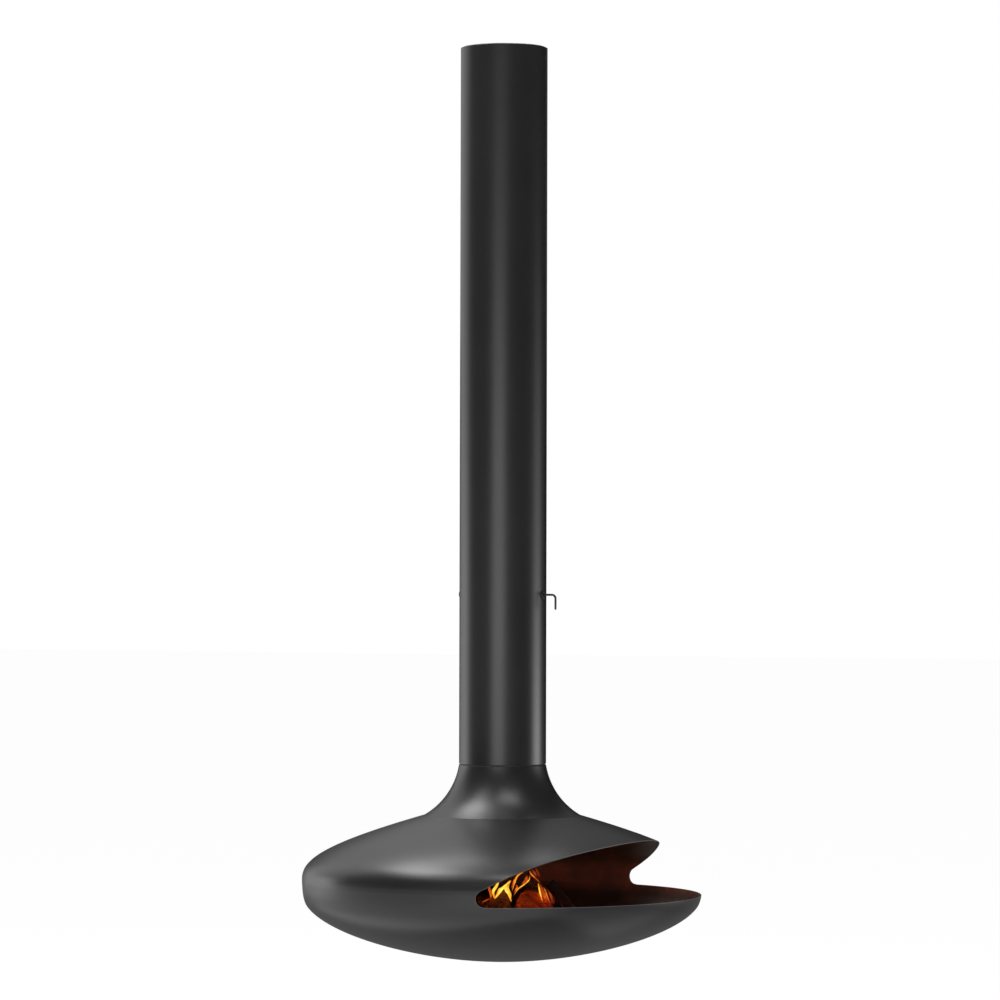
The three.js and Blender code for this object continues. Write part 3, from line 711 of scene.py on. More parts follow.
def round_faces(rings, around, first=0, flip=False):
    """The faces between rings of points that follow each other along a form."""
    faces = []
    for i in range(rings - 1):
        for k in range(around):
            a, b = first + i * around + k, first + i * around + (k + 1) % around
            faces.append((a, a + around, b + around, b) if flip else (a, b, b + around, a + around))
    return faces


def bar_faces(rings, around, first=0):
    """The faces of a round bar with closed ends."""
    last = first + (rings - 1) * around
    ends = [tuple(reversed(range(first, first + around))), tuple(range(last, last + around))]
    return round_faces(rings, around, first) + ends


def holes_round(radius, level, ways, outwards=False):
    """Round holes about the axis, each as its middle and its direction: upright, or straight outwards."""
    return [((radius * math.cos(a), radius * math.sin(a), level),
             (math.cos(a), math.sin(a), 0) if outwards else (0, 0, 1)) for a in ways]


def turned(profile, sides=160):
    """Vertices and faces of a closed (r, z) profile turned about Z. Points on the axis are shared."""
    verts, rings = [], []
    ways = round_ways(sides)
    for r, z in profile:
        if r < 1e-7:
            rings.append([len(verts)] * sides)
            verts.append((0, 0, z))
            continue
        rings.append(list(range(len(verts), len(verts) + sides)))
        verts += [(r * across, r * ahead, z) for across, ahead in ways]
    faces = []
    for a, b in zip(rings, rings[1:] + rings[:1]):
        for k in range(sides):
            corners = [a[k], a[(k + 1) % sides], b[(k + 1) % sides], b[k]]
            kept = [c for n, c in enumerate(corners) if c not in corners[:n]]
            if len(kept) > 2:
                faces.append(kept)
    return verts, faces


def measure_ring(node):
    """The inner and outer radius and the lowest and highest point of a round node."""
    points = np.array([v.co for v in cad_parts[node].data.vertices])
    radii = np.hypot(points[:, 0], points[:, 1])
    return radii.min(), radii.max(), points[:, 2].min(), points[:, 2].max()


def fine_ring(node, material, body, ease=0.0006, sides=160):
    """A smooth ring in place of a faceted one of the same size."""
    inner, outer, low, high = measure_ring(node)
    corners = [(inner, low), (outer, low), (outer, high), (inner, high)]
    verts, faces = turned(eased(corners, ease), sides)
    return piece(node + "_turned", verts, faces, [material], body, [node])


def soften(made, width=0.0005, angle=30):
    """Breaks the sharp edges of a piece, so that they catch the light."""
    bevel = made.modifiers.new("broken_edges", "BEVEL")
    bevel.width = width
    bevel.segments = 2
    bevel.limit_method = "ANGLE"
    bevel.angle_limit = math.radians(angle)
    return made


def eased_copy(node, material, body, width=0.0006, angle=30):
    """A node's own form with its edges broken."""
    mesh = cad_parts[node].data
    verts = [v.co.copy() for v in mesh.vertices]
    faces = [list(p.vertices) for p in mesh.polygons]
    made = piece(node + "_eased", verts, faces, [material], body, [node], smooth=False)
    form = bmesh.new()
    form.from_mesh(made.data)
    bmesh.ops.remove_doubles(form, verts=form.verts, dist=1e-6)
    bmesh.ops.dissolve_limit(form, angle_limit=math.radians(1), verts=form.verts, edges=form.edges)
    form.to_mesh(made.data)
    form.free()
    made.data.shade_smooth()
    made.data.set_sharp_from_angle(angle=math.radians(angle))
    return soften(made, width, angle)


def drilled(made, holes, radius, depth=0.06):
    """Cuts round holes, each given by its middle and its direction."""
    half = depth / 2
    for index, (middle, direction) in enumerate(holes):
        verts, faces = turned([(0, -half), (radius, -half), (radius, half), (0, half)], 32)
        mesh = new_mesh("drill", verts, faces)
        aim = Vector(direction).to_track_quat("Z", "Y").to_matrix().to_4x4()
        mesh.transform(Matrix.Translation(middle) @ aim)
        drill = place_in_scene("drill", mesh)
        cut = made.modifiers.new(f"hole_{index}", "BOOLEAN")
        cut.operation = "DIFFERENCE"
        cut.object = drill
        cut.solver = "EXACT"
        bpy.context.view_layer.update()
        graph = bpy.context.evaluated_depsgraph_get()
        result = bpy.data.meshes.new_from_object(made.evaluated_get(graph))
        made.modifiers.clear()
        made.data = result
        bpy.data.objects.remove(drill)
    made.data.shade_smooth()
    made.data.set_sharp_from_angle(angle=math.radians(40))


def round_off(made):
    """Gives the round walls of a turned piece the exact normals of a cylinder."""
    mesh = made.data
    normals = [corner.vector.copy() for corner in mesh.corner_normals]
    for face in mesh.polygons:
        middle = Vector((face.center.x, face.center.y, 0)).normalized()
        facing = face.normal.dot(middle)
        if abs(facing) < 0.97:
            continue
        for index in face.loop_indices:
            place = mesh.vertices[mesh.loops[index].vertex_index].co
            normals[index] = Vector((place.x, place.y, 0)).normalized() * math.copysign(1, facing)
    mesh.normals_split_custom_set([tuple(n) for n in normals])


def cubic(start, pull_start, pull_end, end, steps):
    """Points along a cubic curve, the last one left out."""
    a, b, c, d = (Vector(p) for p in (start, pull_start, pull_end, end))
    made = []
    for i in range(steps):
        t = i / steps
        s = 1 - t
        made.append(a * s ** 3 + b * 3 * s * s * t + c * 3 * s * t * t + d * t ** 3)
    return made


# ---- Ceiling support, flue and damper ------------------------------------------------------------

def build_ceiling_support():
    body, slot = "ceiling_support", "bare_steel"
    fixing_circle, fixing_hole_r = 0.1095, 0.00425
    screw_circle, screw_hole_r = 0.109, 0.0028
    corners = [math.radians(a) for a in (45, 135, 225, 315)]
    plate = fine_ring("ceiling_plate", STEEL, body, ease=0.0008)
    drilled(plate, holes_round(fixing_circle, 0, corners), fixing_hole_r)
    keeper_low, keeper_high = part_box("keeper_ring")
    keeper_mid = (keeper_low.z + keeper_high.z) / 2
    screw_holes = holes_round(screw_circle, keeper_mid, SCREW_WAYS, outwards=True)
    for node in ("support_spigot", "keeper_ring"):
        drilled(fine_ring(node, STEEL, body), screw_holes, screw_hole_r, depth=0.03)
    fine_ring("bearing_lower_race", STEEL, body)
    for i in range(6):
        eased_copy(f"keeper_screw_{i + 1}", STEEL, body, width=0.0003)


def flange_bolt_holes():
    return holes_round(FLANGE_BOLT_CIRCLE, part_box("flue_flange")[0].z, SCREW_WAYS)


def build_flue():
    body = "flue_and_hearth"
    inner, outer, low, high = measure_ring("flue_tube")
    rows = 40
    wall_z = [low + (high - low) * i / rows for i in range(1, rows)]
    corners = eased([(inner, low), (outer, low), (outer, high), (inner, high)], 0.0007)
    per_corner = len(corners) // 4
    outside = corners[per_corner:2 * per_corner] + [(outer, z) for z in wall_z]
    inside = corners[3 * per_corner:] + [(inner, z) for z in reversed(wall_z)]
    profile = corners[:per_corner] + outside + corners[2 * per_corner:3 * per_corner] + inside
    verts, faces = turned([tuple(p) for p in profile], 192)
    tube = piece("flue_tube_rolled", verts, faces, [PAINT], body, ["flue_tube"])
    mid_wall, bush_hole_r = FLUE_R - FLUE_WALL / 2, 0.0073
    bush_holes = [((0, side * mid_wall, DAMPER_Z), (0, 1, 0)) for side in (-1, 1)]
    drilled(tube, bush_holes, bush_hole_r, depth=0.02)
    round_off(tube)
    for node in ("hanger_ring", "bearing_upper_race"):
        fine_ring(node, STEEL, body)
    drilled(fine_ring("flue_flange", STEEL, body), flange_bolt_holes(), FLANGE_HOLE_R)
    fine_ring("rope_seal", FIBRE, body, ease=0.0009)
    drilled(fine_ring("flange_gasket", FIBRE, body), flange_bolt_holes(), FLANGE_HOLE_R)
    for i in range(6):
        eased_copy(f"flange_bolt_{i + 1}", STEEL, body, width=0.0004)


def along_damper(profile, sides=64):
    """A profile of (radius, distance in front of the flue's axis) turned about the damper's own axis."""
    verts, faces = turned(profile, sides)
    lay = Matrix.Translation((0, 0, DAMPER_Z)) @ Matrix.Rotation(math.radians(90), 4, "X")
    return [lay @ Vector(v) for v in verts], faces


def clear_of_flue(point):
    """Moves a point of a fitting that lies within the flue's round wall straight out to just off it."""
    least = math.sqrt((FLUE_R + 0.0003) ** 2 - point.x ** 2)
    return Vector((point.x, math.copysign(max(abs(point.y), least), point.y), point.z))


def build_handle_fittings():
    body = "flue_and_hearth"
    rod_hole, fitting_r, rim_r = 0.0033, 0.0130, 0.0108
    seat = FLUE_R + 0.0002
    front = FLUE_R + 0.0040
    rosette = [(rod_hole, seat - 0.002), (fitting_r, seat - 0.0004), (fitting_r, front - 0.0016),
               (rim_r, front), (rod_hole + 0.0012, front), (rod_hole, front - 0.001)]
    back, cap_wall, bore = -(FLUE_R + 0.011), 0.0045, 0.0053
    cap = [(0, back), (0.0085, back), (fitting_r, back + 0.0040), (fitting_r, -seat), (bore, -seat),
           (bore, back + cap_wall), (0, back + cap_wall)]
    for node, profile in (("handle_rosette", eased(rosette, 0.0006)), ("rear_cap", cap)):
        verts, faces = along_damper(profile)
        verts = [clear_of_flue(v) for v in verts]
        piece(node + "_turned", verts, faces, [PAINT], body, [node])
    for node in ("front_bush", "rear_bush", "friction_washer"):
        eased_copy(node, STEEL, body, width=0.0002)


def swept(path, radii, sides=24):
    """A round bar along a path of points, with its own radius at each."""
    verts = []
    side = Vector((1, 0, 0))
    for i, (point, radius) in enumerate(zip(path, radii)):
        ahead = (path[min(i + 1, len(path) - 1)] - path[max(i - 1, 0)]).normalized()
        up = side.cross(ahead).normalized()
        verts += [point + (side * across + up * rise) * radius for across, rise in round_ways(sides)]
    return verts, bar_faces(len(path), sides)


def build_handle():
    """The rod through the flue, its bend and the handle that hangs down, with a rounded end."""
    low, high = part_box("damper_rod")
    rod_r, bend_r, point_r = 0.003, 0.011, 0.00008
    out = -(low.y + rod_r)
    bend_at = out - bend_r
    end_z = low.z + rod_r
    path = [Vector((0, y, DAMPER_Z)) for y in (high.y, 0.06, 0, -0.06, -bend_at)]
    for k in range(1, 13):
        angle = math.radians(90) * k / 12
        forward, down = bend_at + bend_r * math.sin(angle), bend_r * (1 - math.cos(angle))
        path.append(Vector((0, -forward, DAMPER_Z - down)))
    path += [Vector((0, -out, end_z + 0.010)), Vector((0, -out, end_z))]
    radii = [rod_r] * len(path)
    for k in range(1, 7):
        angle = math.radians(90) * k / 6
        path.append(Vector((0, -out, end_z - rod_r * math.sin(angle))))
        radii.append(max(rod_r * math.cos(angle), point_r))
    verts, faces = swept(path, radii)
    piece("damper_handle_rod", verts, faces, [PAINT], "damper", ["damper_rod"])


def build_damper():
    body = "damper"
    build_handle()
    low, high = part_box("damper_disc")
    disc_r = (high.y - low.y) / 2
    profile = eased([(0, low.x), (disc_r, low.x), (disc_r, high.x), (0, high.x)], 0.0006)
    verts, faces = turned(profile, 128)
    stand = Matrix.Translation((0, 0, DAMPER_Z)) @ Matrix.Rotation(math.radians(90), 4, "Y")
    verts = [stand @ Vector(v) for v in verts]
    piece("damper_disc_cut", verts, faces, [STEEL], body, ["damper_disc"])
    for node in ("disc_clip_front", "disc_clip_rear", "set_collar"):
        eased_copy(node, STEEL, body, width=0.0003)


# ---- Neck, hood and bowl -------------------------------------------------------------------------

def neck_outline(steps=40):
    """The neck's hollow curve, from the flue down to the hood."""
    neck_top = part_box("neck_flare")[1].z
    top, foot = (math.radians(a) for a in NECK_ARC_DEG)
    centre_r = FLUE_R + NECK_ARC_R * math.cos(top)
    centre_z = neck_top + NECK_ARC_R * math.sin(top)
    turns = [top + (foot - top) * i / steps for i in range(steps + 1)]
    return [Vector((centre_r - NECK_ARC_R * math.cos(t), centre_z - NECK_ARC_R * math.sin(t))) for t in turns]


def outline_normals(line):
    """The outward normal at each point of an outline that runs down the outside."""
    made = []
    for i in range(len(line)):
        along = (line[min(i + 1, len(line) - 1)] - line[max(i - 1, 0)]).normalized()
        made.append(Vector((-along.y, along.x)))
    return made


def build_neck():
    line = neck_outline()
    normals = outline_normals(line)
    inner = [p - n * NECK_WALL for p, n in zip(line, normals)]
    length = (line[-1] - line[0]).length
    foot_way, top_way = (line[-1] - line[-2]).normalized(), (line[0] - line[1]).normalized()
    foot, top = [], []
    for i in range(5):
        turn = math.radians(90) * i / 4
        away, in_line = 1 - math.cos(turn), 1 - math.sin(turn)
        foot.append(line[-1] - foot_way * NECK_EDGE_R * in_line - normals[-1] * NECK_EDGE_R * away)
        top.insert(0, line[0] - top_way * NECK_EDGE_R * in_line - normals[0] * NECK_EDGE_R * away)
    clear = NECK_EDGE_R * 1.2
    middle = [p for p in line if clear < (p - line[0]).length < length - clear]
    outside = top + middle + foot
    profile = [tuple(p) for p in inner] + [tuple(p) for p in reversed(outside)]
    verts, faces = turned(profile, 192)
    neck = piece("neck_flare_spun", verts, faces, [PAINT], "flue_and_hearth", ["neck_flare"])
    neck.data.set_sharp_from_angle(angle=math.radians(40))


def ease_rim(outline, widest):
    """Rounds the turn from hood to bowl, at unchanged heights, so that light runs over it without a break."""
    first = max(i for i, p in enumerate(outline) if p.y > RIM_Z + RIM_EASE_UP)
    last = min(i for i, p in enumerate(outline) if p.y < RIM_Z - RIM_EASE_DOWN)
    start, end = outline[first], outline[last]
    leave, arrive = (start - outline[first - 1]).normalized(), (outline[last + 1] - end).normalized()
    pull = (end - start).length
    share_out = 0.33
    curve = cubic(start, start + leave * pull * share_out, end - arrive * pull * share_out, end, 400) + [end]
    for i in range(first + 1, last):
        k = next(k for k, p in enumerate(curve) if p.y <= outline[i].y)
        share = (curve[k - 1].y - outline[i].y) / (curve[k - 1].y - curve[k].y)
        outline[i] = Vector((min(curve[k - 1].lerp(curve[k], share).x, widest), outline[i].y))


def hearth_outline(steps=90):
    """From the flue's hole, under the neck, over the hood, round the rim and down to the bowl's middle."""
    foot = neck_outline()[-1]
    grade = math.tan(HOOD_SLOPE)
    bore = FLUE_R - FLUE_WALL
    inner_edge = Vector((bore, foot.y + (foot.x - bore) * grade))
    under_neck = [inner_edge.lerp(foot, i / 6) for i in range(6)]
    pull = foot + Vector((math.cos(HOOD_SLOPE), -math.sin(HOOD_SLOPE))) * HOOD_REACH
    rim = (RIM_R, RIM_Z)
    hood = cubic(foot, pull, (RIM_R, RIM_Z + HOOD_DROP), rim, steps)
    bowl = cubic(rim, (RIM_R, RIM_Z - BOWL_TURN), (BOWL_FLAT, BOWL_Z), (0, BOWL_Z), steps)
    widest = CAD_BOX[1][0]
    outline = [Vector((min(p.x, widest), p.y)) for p in under_neck + hood + bowl]
    ease_rim(outline, widest)
    return outline, len(under_neck) + steps


def mouth_edge():
    """The mouth's edge from the side, as (distance out, z), from the tip back round the nose to the lip."""
    centre = Vector((MOUTH_NOSE_OUT, RIM_Z + MOUTH_NOSE_R))
    leave = math.radians(90 + MOUTH_START_DEG)
    start = centre + Vector((math.cos(leave), math.sin(leave))) * MOUTH_NOSE_R
    end = Vector(MOUTH_END)

    def rise(degrees, pull):
        return Vector((math.cos(math.radians(degrees)), math.sin(math.radians(degrees)))) * pull

    far = 0.76
    tip = Vector((far, end.y + (far - end.x) * math.tan(math.radians(MOUTH_END_DEG))))
    upper = [tip, end] + cubic(end, end - rise(MOUTH_END_DEG, MOUTH_END_PULL),
                               start + rise(MOUTH_START_DEG, MOUTH_START_PULL), start, 60)[1:]
    turn = math.radians(270) - leave
    nose = [centre + Vector((math.cos(leave + turn * i / 40), math.sin(leave + turn * i / 40))) * MOUTH_NOSE_R
            for i in range(41)]
    return upper + nose + [Vector((far, RIM_Z))]


MOUTH_EDGE = np.array([tuple(p) for p in mouth_edge()])


def inside_mouth(points):
    """How far each point lies inside the mouth, in metres; below 0 outside it."""
    flat = np.stack([-points[:, 1], points[:, 2]], axis=1)
    start, end = MOUTH_EDGE[:-1], MOUTH_EDGE[1:]
    step = end - start
    offset = flat[:, None, :] - start[None]
    t = np.clip((offset * step).sum(2) / (step ** 2).sum(1), 0, 1)
    nearest = np.sqrt(((offset - t[..., None] * step) ** 2).sum(2)).min(1)
    x, z = flat[:, 0:1], flat[:, 1:2]
    ax, az = MOUTH_EDGE[:, 0], MOUTH_EDGE[:, 1]
    bx, bz = np.roll(ax, -1), np.roll(az, -1)
    crosses = ((az > z) != (bz > z)) & (x < (bx - ax) * (z - az) / (bz - az + 1e-30) + ax)
    inside = crosses.sum(1) % 2 == 1
    return np.where(inside, nearest, -nearest)


def corner_of(row, column):
    """The number of a point of the skin's grid."""
    return row * SKIN_COLUMNS + column % SKIN_COLUMNS


def swept_round(pairs):
    """Each (out, up) pair of an outline, turned about Z into a row of points."""
    ways = np.arange(SKIN_COLUMNS) / SKIN_COLUMNS * math.tau
    out = np.array([p.x for p in pairs])[:, None]
    up = np.array([p.y for p in pairs])[:, None]
    rows = np.stack([out * np.cos(ways), out * np.sin(ways), np.repeat(up, SKIN_COLUMNS, 1)], axis=2)
    return rows.reshape(-1, 3)


def hearth_grid():
    """Points and outward normals of the skin, how far each lies inside the mouth, and the number of rows."""
    line, rim_row = hearth_outline()
    points, normals = swept_round(line), swept_round(outline_normals(line))
    depth = inside_mouth(points)
    on_rim = slice(rim_row * SKIN_COLUMNS, (rim_row + 1) * SKIN_COLUMNS)
    depth[on_rim] = np.minimum(depth[on_rim], 0)
    return [Vector(p) for p in points], [Vector(n) for n in normals], list(depth), len(line)


def share_to_edge(depth, a, b):
    """How far along from a to b the mouth's edge crosses."""
    return depth[a] / (depth[a] - depth[b])


def snap_to_edge(verts, normals, depth, rows):
    """Moves each point that nearly touches the mouth's edge onto it, so that no sliver is left beside it."""
    snapped = {}
    for row in range(rows - 1):
        for column in range(SKIN_COLUMNS):
            here = corner_of(row, column)
            for there in (corner_of(row, column + 1), corner_of(row + 1, column)):
                if depth[here] * depth[there] < 0:
                    t = share_to_edge(depth, here, there)
                    near, far, share = (here, there, t) if t < 0.5 else (there, here, 1 - t)
                    if share < SNAP_SHARE and (near not in snapped or snapped[near][1] > share):
                        snapped[near] = (far, share)
    moved = {near: (verts[near].lerp(verts[far], share), normals[near].lerp(normals[far], share))
             for near, (far, share) in snapped.items()}
    for near, (place, normal) in moved.items():
        verts[near], normals[near], depth[near] = place, normal.normalized(), 0.0


def cut_faces(verts, normals, depth, rows):
    """The faces that lie outside the mouth, with those that its edge crosses cut along it."""
    cuts = {}

    def cut(a, b):
        key = (min(a, b), max(a, b))
        if key not in cuts:
            t = share_to_edge(depth, *key)
            cuts[key] = len(verts)
            verts.append(verts[key[0]].lerp(verts[key[1]], t))
            normals.append(normals[key[0]].lerp(normals[key[1]], t).normalized())
            depth.append(0.0)
        return cuts[key]

    faces = []
    for row in range(rows - 1):
        for column in range(SKIN_COLUMNS):
            places = ((row, column), (row + 1, column), (row + 1, column + 1), (row, column + 1))
            corners = [corner_of(*place) for place in places]
            if max(depth[c] for c in corners) <= 0:
                faces.append(corners)
                continue
            if min(depth[c] for c in corners) >= 0:
                continue
            kept = []
            for a, b in zip(corners, corners[1:] + corners[:1]):
                if depth[a] <= 0:
                    kept.append(a)
                if depth[a] * depth[b] < 0:
                    kept.append(cut(a, b))
            if len(kept) > 2:
                faces.append(kept)
    return faces


def only_used(verts, normals, faces):
    """The points that faces use, with the faces numbered to match."""
    used = sorted({v for face in faces for v in face})
    renumber = {old: new for new, old in enumerate(used)}
    faces = [[renumber[v] for v in face] for face in faces]
    return [verts[v] for v in used], [normals[v] for v in used], faces


def open_edges(faces):
    """The loops of open edge: one round the flue's hole and one round the mouth."""
    sides = {(a, b) for face in faces for a, b in zip(face, face[1:] + face[:1])}
    ahead = {b: a for a, b in sides if (b, a) not in sides}
    loops = []
    while ahead:
        first = next(iter(ahead))
        loop = [first]
        step = ahead.pop(first)
        while step != first:
            loop.append(step)
            step = ahead.pop(step)
        loops.append(loop)
    return loops


def ways_out(loop, verts, normals, faces):
    """The way out of the sheet at each point of an open edge, square to the edge."""
    outwards = []
    for k, v in enumerate(loop):
        along = (verts[loop[(k + 2) % len(loop)]] - verts[loop[k - 2]]).normalized()
        outwards.append(normals[v].cross(along).normalized())
    neighbour = next(face for face in faces if loop[0] in face)
    middle = sum((verts[v] for v in neighbour), Vector()) / len(neighbour)
    if (middle - verts[loop[0]]).dot(outwards[0]) > 0:
        outwards = [-out for out in outwards]
    return outwards


def round_lip(loop, outwards, count, verts, normals):
    """Joins the outer and inner skin along an open edge with a rounded lip, and gives back its faces."""
    half = SHELL_WALL / 2
    size = len(loop)
    faces, previous = [], loop
    for step in range(1, LIP_STEPS + 1):
        current = [v + count for v in loop]
        if step < LIP_STEPS:
            angle = math.pi * step / LIP_STEPS
            current = list(range(len(verts), len(verts) + size))
            upright, level = math.cos(angle), math.sin(angle)
            for v, out in zip(loop, outwards):
                n = normals[v]
                centre = verts[v] - n * half
                verts.append(centre + n * (half * upright) + out * (LIP_BULGE * level))
                normals.append((n * (LIP_BULGE * upright) + out * (half * level)).normalized())
        for k in range(size):
            faces.append([previous[k], previous[(k + 1) % size], current[(k + 1) % size], current[k]])
        previous = current
    return faces


def build_hearth_shell():
    """Hood and bowl as one smooth skin, with the mouth cut out of it and a rounded lip all round the cut."""
    verts, normals, depth, rows = hearth_grid()
    snap_to_edge(verts, normals, depth, rows)
    faces = cut_faces(verts, normals, depth, rows)
    pole = len(verts)
    verts.append(Vector((0, 0, BOWL_Z)))
    normals.append(Vector((0, 0, -1)))
    faces += [[corner_of(rows - 1, c), pole, corner_of(rows - 1, c + 1)] for c in range(SKIN_COLUMNS)]
    verts, normals, faces = only_used(verts, normals, faces)
    count = len(verts)
    edges = [(loop, ways_out(loop, verts, normals, faces)) for loop in open_edges(faces)]
    verts += [v - n * SHELL_WALL for v, n in zip(verts, normals)]
    normals += [-n for n in normals]
    inner_faces = [[v + count for v in reversed(face)] for face in faces]
    lip_faces = []
    for loop, outwards in edges:
        lip_faces += round_lip(loop, outwards, count, verts, normals)
    # The lip's faces take the edge paint, whose lighter colour is a painted highlight.
    finish = [0] * len(faces) + [1] * len(inner_faces) + [2] * len(lip_faces)
    shell = piece("hearth_shell", verts, faces + inner_faces + lip_faces, [PAINT, SOOT_AND_PAINTED_GLOW, EDGE_PAINTED_HIGHLIGHT],
                  "flue_and_hearth", ["hood_shell", "bowl_shell"], face_material=finish)
    shell.data.normals_split_custom_set_from_vertices([tuple(n) for n in normals])


def build_hearth_fittings():
    body = "flue_and_hearth"
    eased_copy("seam_strip", SOOT_AND_PAINTED_GLOW, body, width=0.0005)
    low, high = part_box("hearth_collar")
    flange_r, flange_thick, clearance = 0.106, 0.008, 0.0003
    tube_r = FLUE_R - FLUE_WALL - clearance
    bore = tube_r - SHELL_WALL
    under = high.z - flange_thick
    profile = [(flange_r, under), (bore, under), (bore, low.z), (tube_r, low.z), (tube_r, high.z),
               (flange_r, high.z)]
    verts, faces = turned(eased(profile, 0.0006), 160)
    collar = piece("hearth_collar_turned", verts, faces, [SOOT_AND_PAINTED_GLOW], body, ["hearth_collar"])
    drilled(collar, flange_bolt_holes(), FLANGE_HOLE_R)


# ---- Fire bed, wood and fire ---------------------------------------------------------------------

def build_fire_bed():
    body = "flue_and_hearth"
    for i in range(6):
        eased_copy(f"firebrick_{i + 1}", BRICK, body, width=0.0025)
    for node in ("bed_tray", "ash_pan", "fire_grate"):
        eased_copy(node, IRON, body, width=0.0008)


# Each split log: its length, width and height, how far its ridge leans, where its middle lies along and aside
# in the pile's frame, how high its underside is over the bricks, its heading and its tilt, both in degrees.
LOGS = {
    "log_base_near": (.390, .092, .068, -.06, -.002, -.076, .001, 4, 0),
    "log_base_far": (.370, .096, .066, .1, -.008, .072, .001, -5, 0),
    "log_cross_front": (.320, .114, .062, .04, .096, -.006, .070, 88, 0),
    "log_cross_rear": (.300, .072, .065, -.14, -.028, .004, .070, 97, 0),
    "log_top": (.230, .027, .022, 0, .082, -.002, .134, 90, 0),
    "log_leaning": (.172, .060, .030, 0, .178, .040, .068, 0, 50),
}
# A log's section as shares of its width and height, with the bark side up.
LOG_SECTION = [(-0.48, 0.1), (-0.46, 0.42), (-0.32, 0.84), (0, 1), (0.3, 0.84), (0.46, 0.46), (0.48, 0.12),
               (0.24, 0), (-0.22, 0)]
LOG_STATIONS, LOG_AROUND = 90, 72
LOG_TAPER = 0.1


def log_ring(ridge):
    """Points round a split log's section, evenly spaced, with its corners a little worn."""
    sharp = [Vector((y + ridge if 0.5 < z else y, z)) for y, z in LOG_SECTION]
    corners = [p.lerp(q, t) for p, q in zip(sharp, sharp[1:] + sharp[:1]) for t in (0.12, 0.88)]
    lengths = [(q - p).length for p, q in zip(corners, corners[1:] + corners[:1])]
    total, made = sum(lengths), []
    for k in range(LOG_AROUND):
        target, i = total * k / LOG_AROUND, 0
        while target > lengths[i]:
            target -= lengths[i]
            i += 1
        made.append(corners[i].lerp(corners[(i + 1) % len(corners)], target / lengths[i]))
    return made


def log_sides(length, width, height, ridge, seed):
    """The long sides of a log that lies along X: torn fibres and bark, with how its grain is laid on it."""
    sway = 0.04 * width
    middle = Vector((0, 0.45))
    verts, uvs = [], []
    section = list(enumerate(zip(log_ring(ridge), round_ways(LOG_AROUND))))
    for i in range(LOG_STATIONS + 1):
        t = i / LOG_STATIONS
        size = 1 - LOG_TAPER * t
        drift = sway * math.sin(5 * t + length * 1000)
        for k, (p, (across, up)) in section:
            fibre = noise.noise(Vector((t * 5, across * 6, up * 6)) + seed)
            fine = noise.noise(Vector((t * 16, across * 17, up * 17)) + seed)
            bark = max(0.0, p.y - 0.5) * 2
            crack = abs(noise.noise(Vector((t * 13, across * 8, up * 8)) - seed))
            shrink = 0.955 + 0.045 * fibre + 0.022 * fine - bark * 0.05 * max(0.0, 1 - crack * 7)
            q = middle + (p - middle) * min(shrink, 0.995)
            at_end = i in (0, LOG_STATIONS)
            rough = 0.004 * noise.noise(Vector((q.x * 7, q.y * 7, i * 0.01)) + seed) if at_end else 0
            verts.append(Vector(((t - 0.5) * (length - 0.006) + sway * p.x * size + rough,
                                 q.x * width * size + drift, q.y * height * size)))
            uvs.append((t * length * 10, k / LOG_AROUND * 2))
    return verts, round_faces(LOG_STATIONS + 1, LOG_AROUND, flip=True), uvs


def add_log_end(verts, faces, uvs, first, flip, seed):
    """Closes one end of a log with splintered rings that run in to its middle."""
    grain_way = math.radians(32)
    inwards = Vector((-1 if flip else 1, 0, 0))
    outer = [first + k for k in range(LOG_AROUND)]
    centre = sum((verts[v] for v in outer), Vector()) / LOG_AROUND
    rim = outer
    for share in (0.86, 0.7, 0.52, 0.34, 0.16, 0.0):
        inner = []
        for v in outer if share else outer[:1]:
            spot = centre.lerp(verts[v], share)
            splinter = 0.5 + 0.5 * noise.noise(Vector((0, spot.y * 30, spot.z * 160)) + seed)
            inner.append(len(verts))
            verts.append(spot + inwards * (0.0045 * splinter * min(1, (1 - share) * 5)))
            u = spot.y * math.cos(grain_way) + spot.z * math.sin(grain_way)
            w = spot.z * math.cos(grain_way) - spot.y * math.sin(grain_way)
            uvs.append((u * 10 + 40, w * 10 + 40))
        for k in range(LOG_AROUND):
            n = (k + 1) % LOG_AROUND
            strip = (rim[k], rim[n], inner[n], inner[k]) if share else (rim[k], rim[n], inner[0])
            faces.append(tuple(reversed(strip)) if flip else strip)
        rim = inner


def lay_grain(made, uvs):
    """Gives each corner of a piece the place of its point in the grain."""
    layer = made.data.uv_layers.new(name="UVMap")
    for loop in made.data.loops:
        layer.data[loop.index].uv = uvs[loop.vertex_index]


def build_log(name, bricks_top, wood, length, width, height, ridge, along, aside, up, head, tilt):
    """One split log: torn fibres along it, bark on its back, rough ends."""
    seed = Vector((length * 91, width * 37, height * 53))
    verts, faces, uvs = log_sides(length, width, height, ridge, seed)
    for first, flip in ((0, False), (LOG_STATIONS * LOG_AROUND, True)):
        add_log_end(verts, faces, uvs, first, flip, seed)
    place = (Matrix.Rotation(PILE_HEAD, 4, "Z") @ Matrix.Translation((along, aside, bricks_top + up))
             @ Matrix.Rotation(math.radians(head), 4, "Z") @ Matrix.Rotation(math.radians(tilt), 4, "Y"))
    verts = [place @ v for v in verts]
    made = piece(name + "_split", verts, faces, [wood], "flue_and_hearth", [name])
    lay_grain(made, uvs)
    made.data.set_sharp_from_angle(angle=math.radians(60))


def build_logs():
    bricks_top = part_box("firebrick_1")[1].z
    for name, form in LOGS.items():
        build_log(name, bricks_top, WOODS[name], *form)


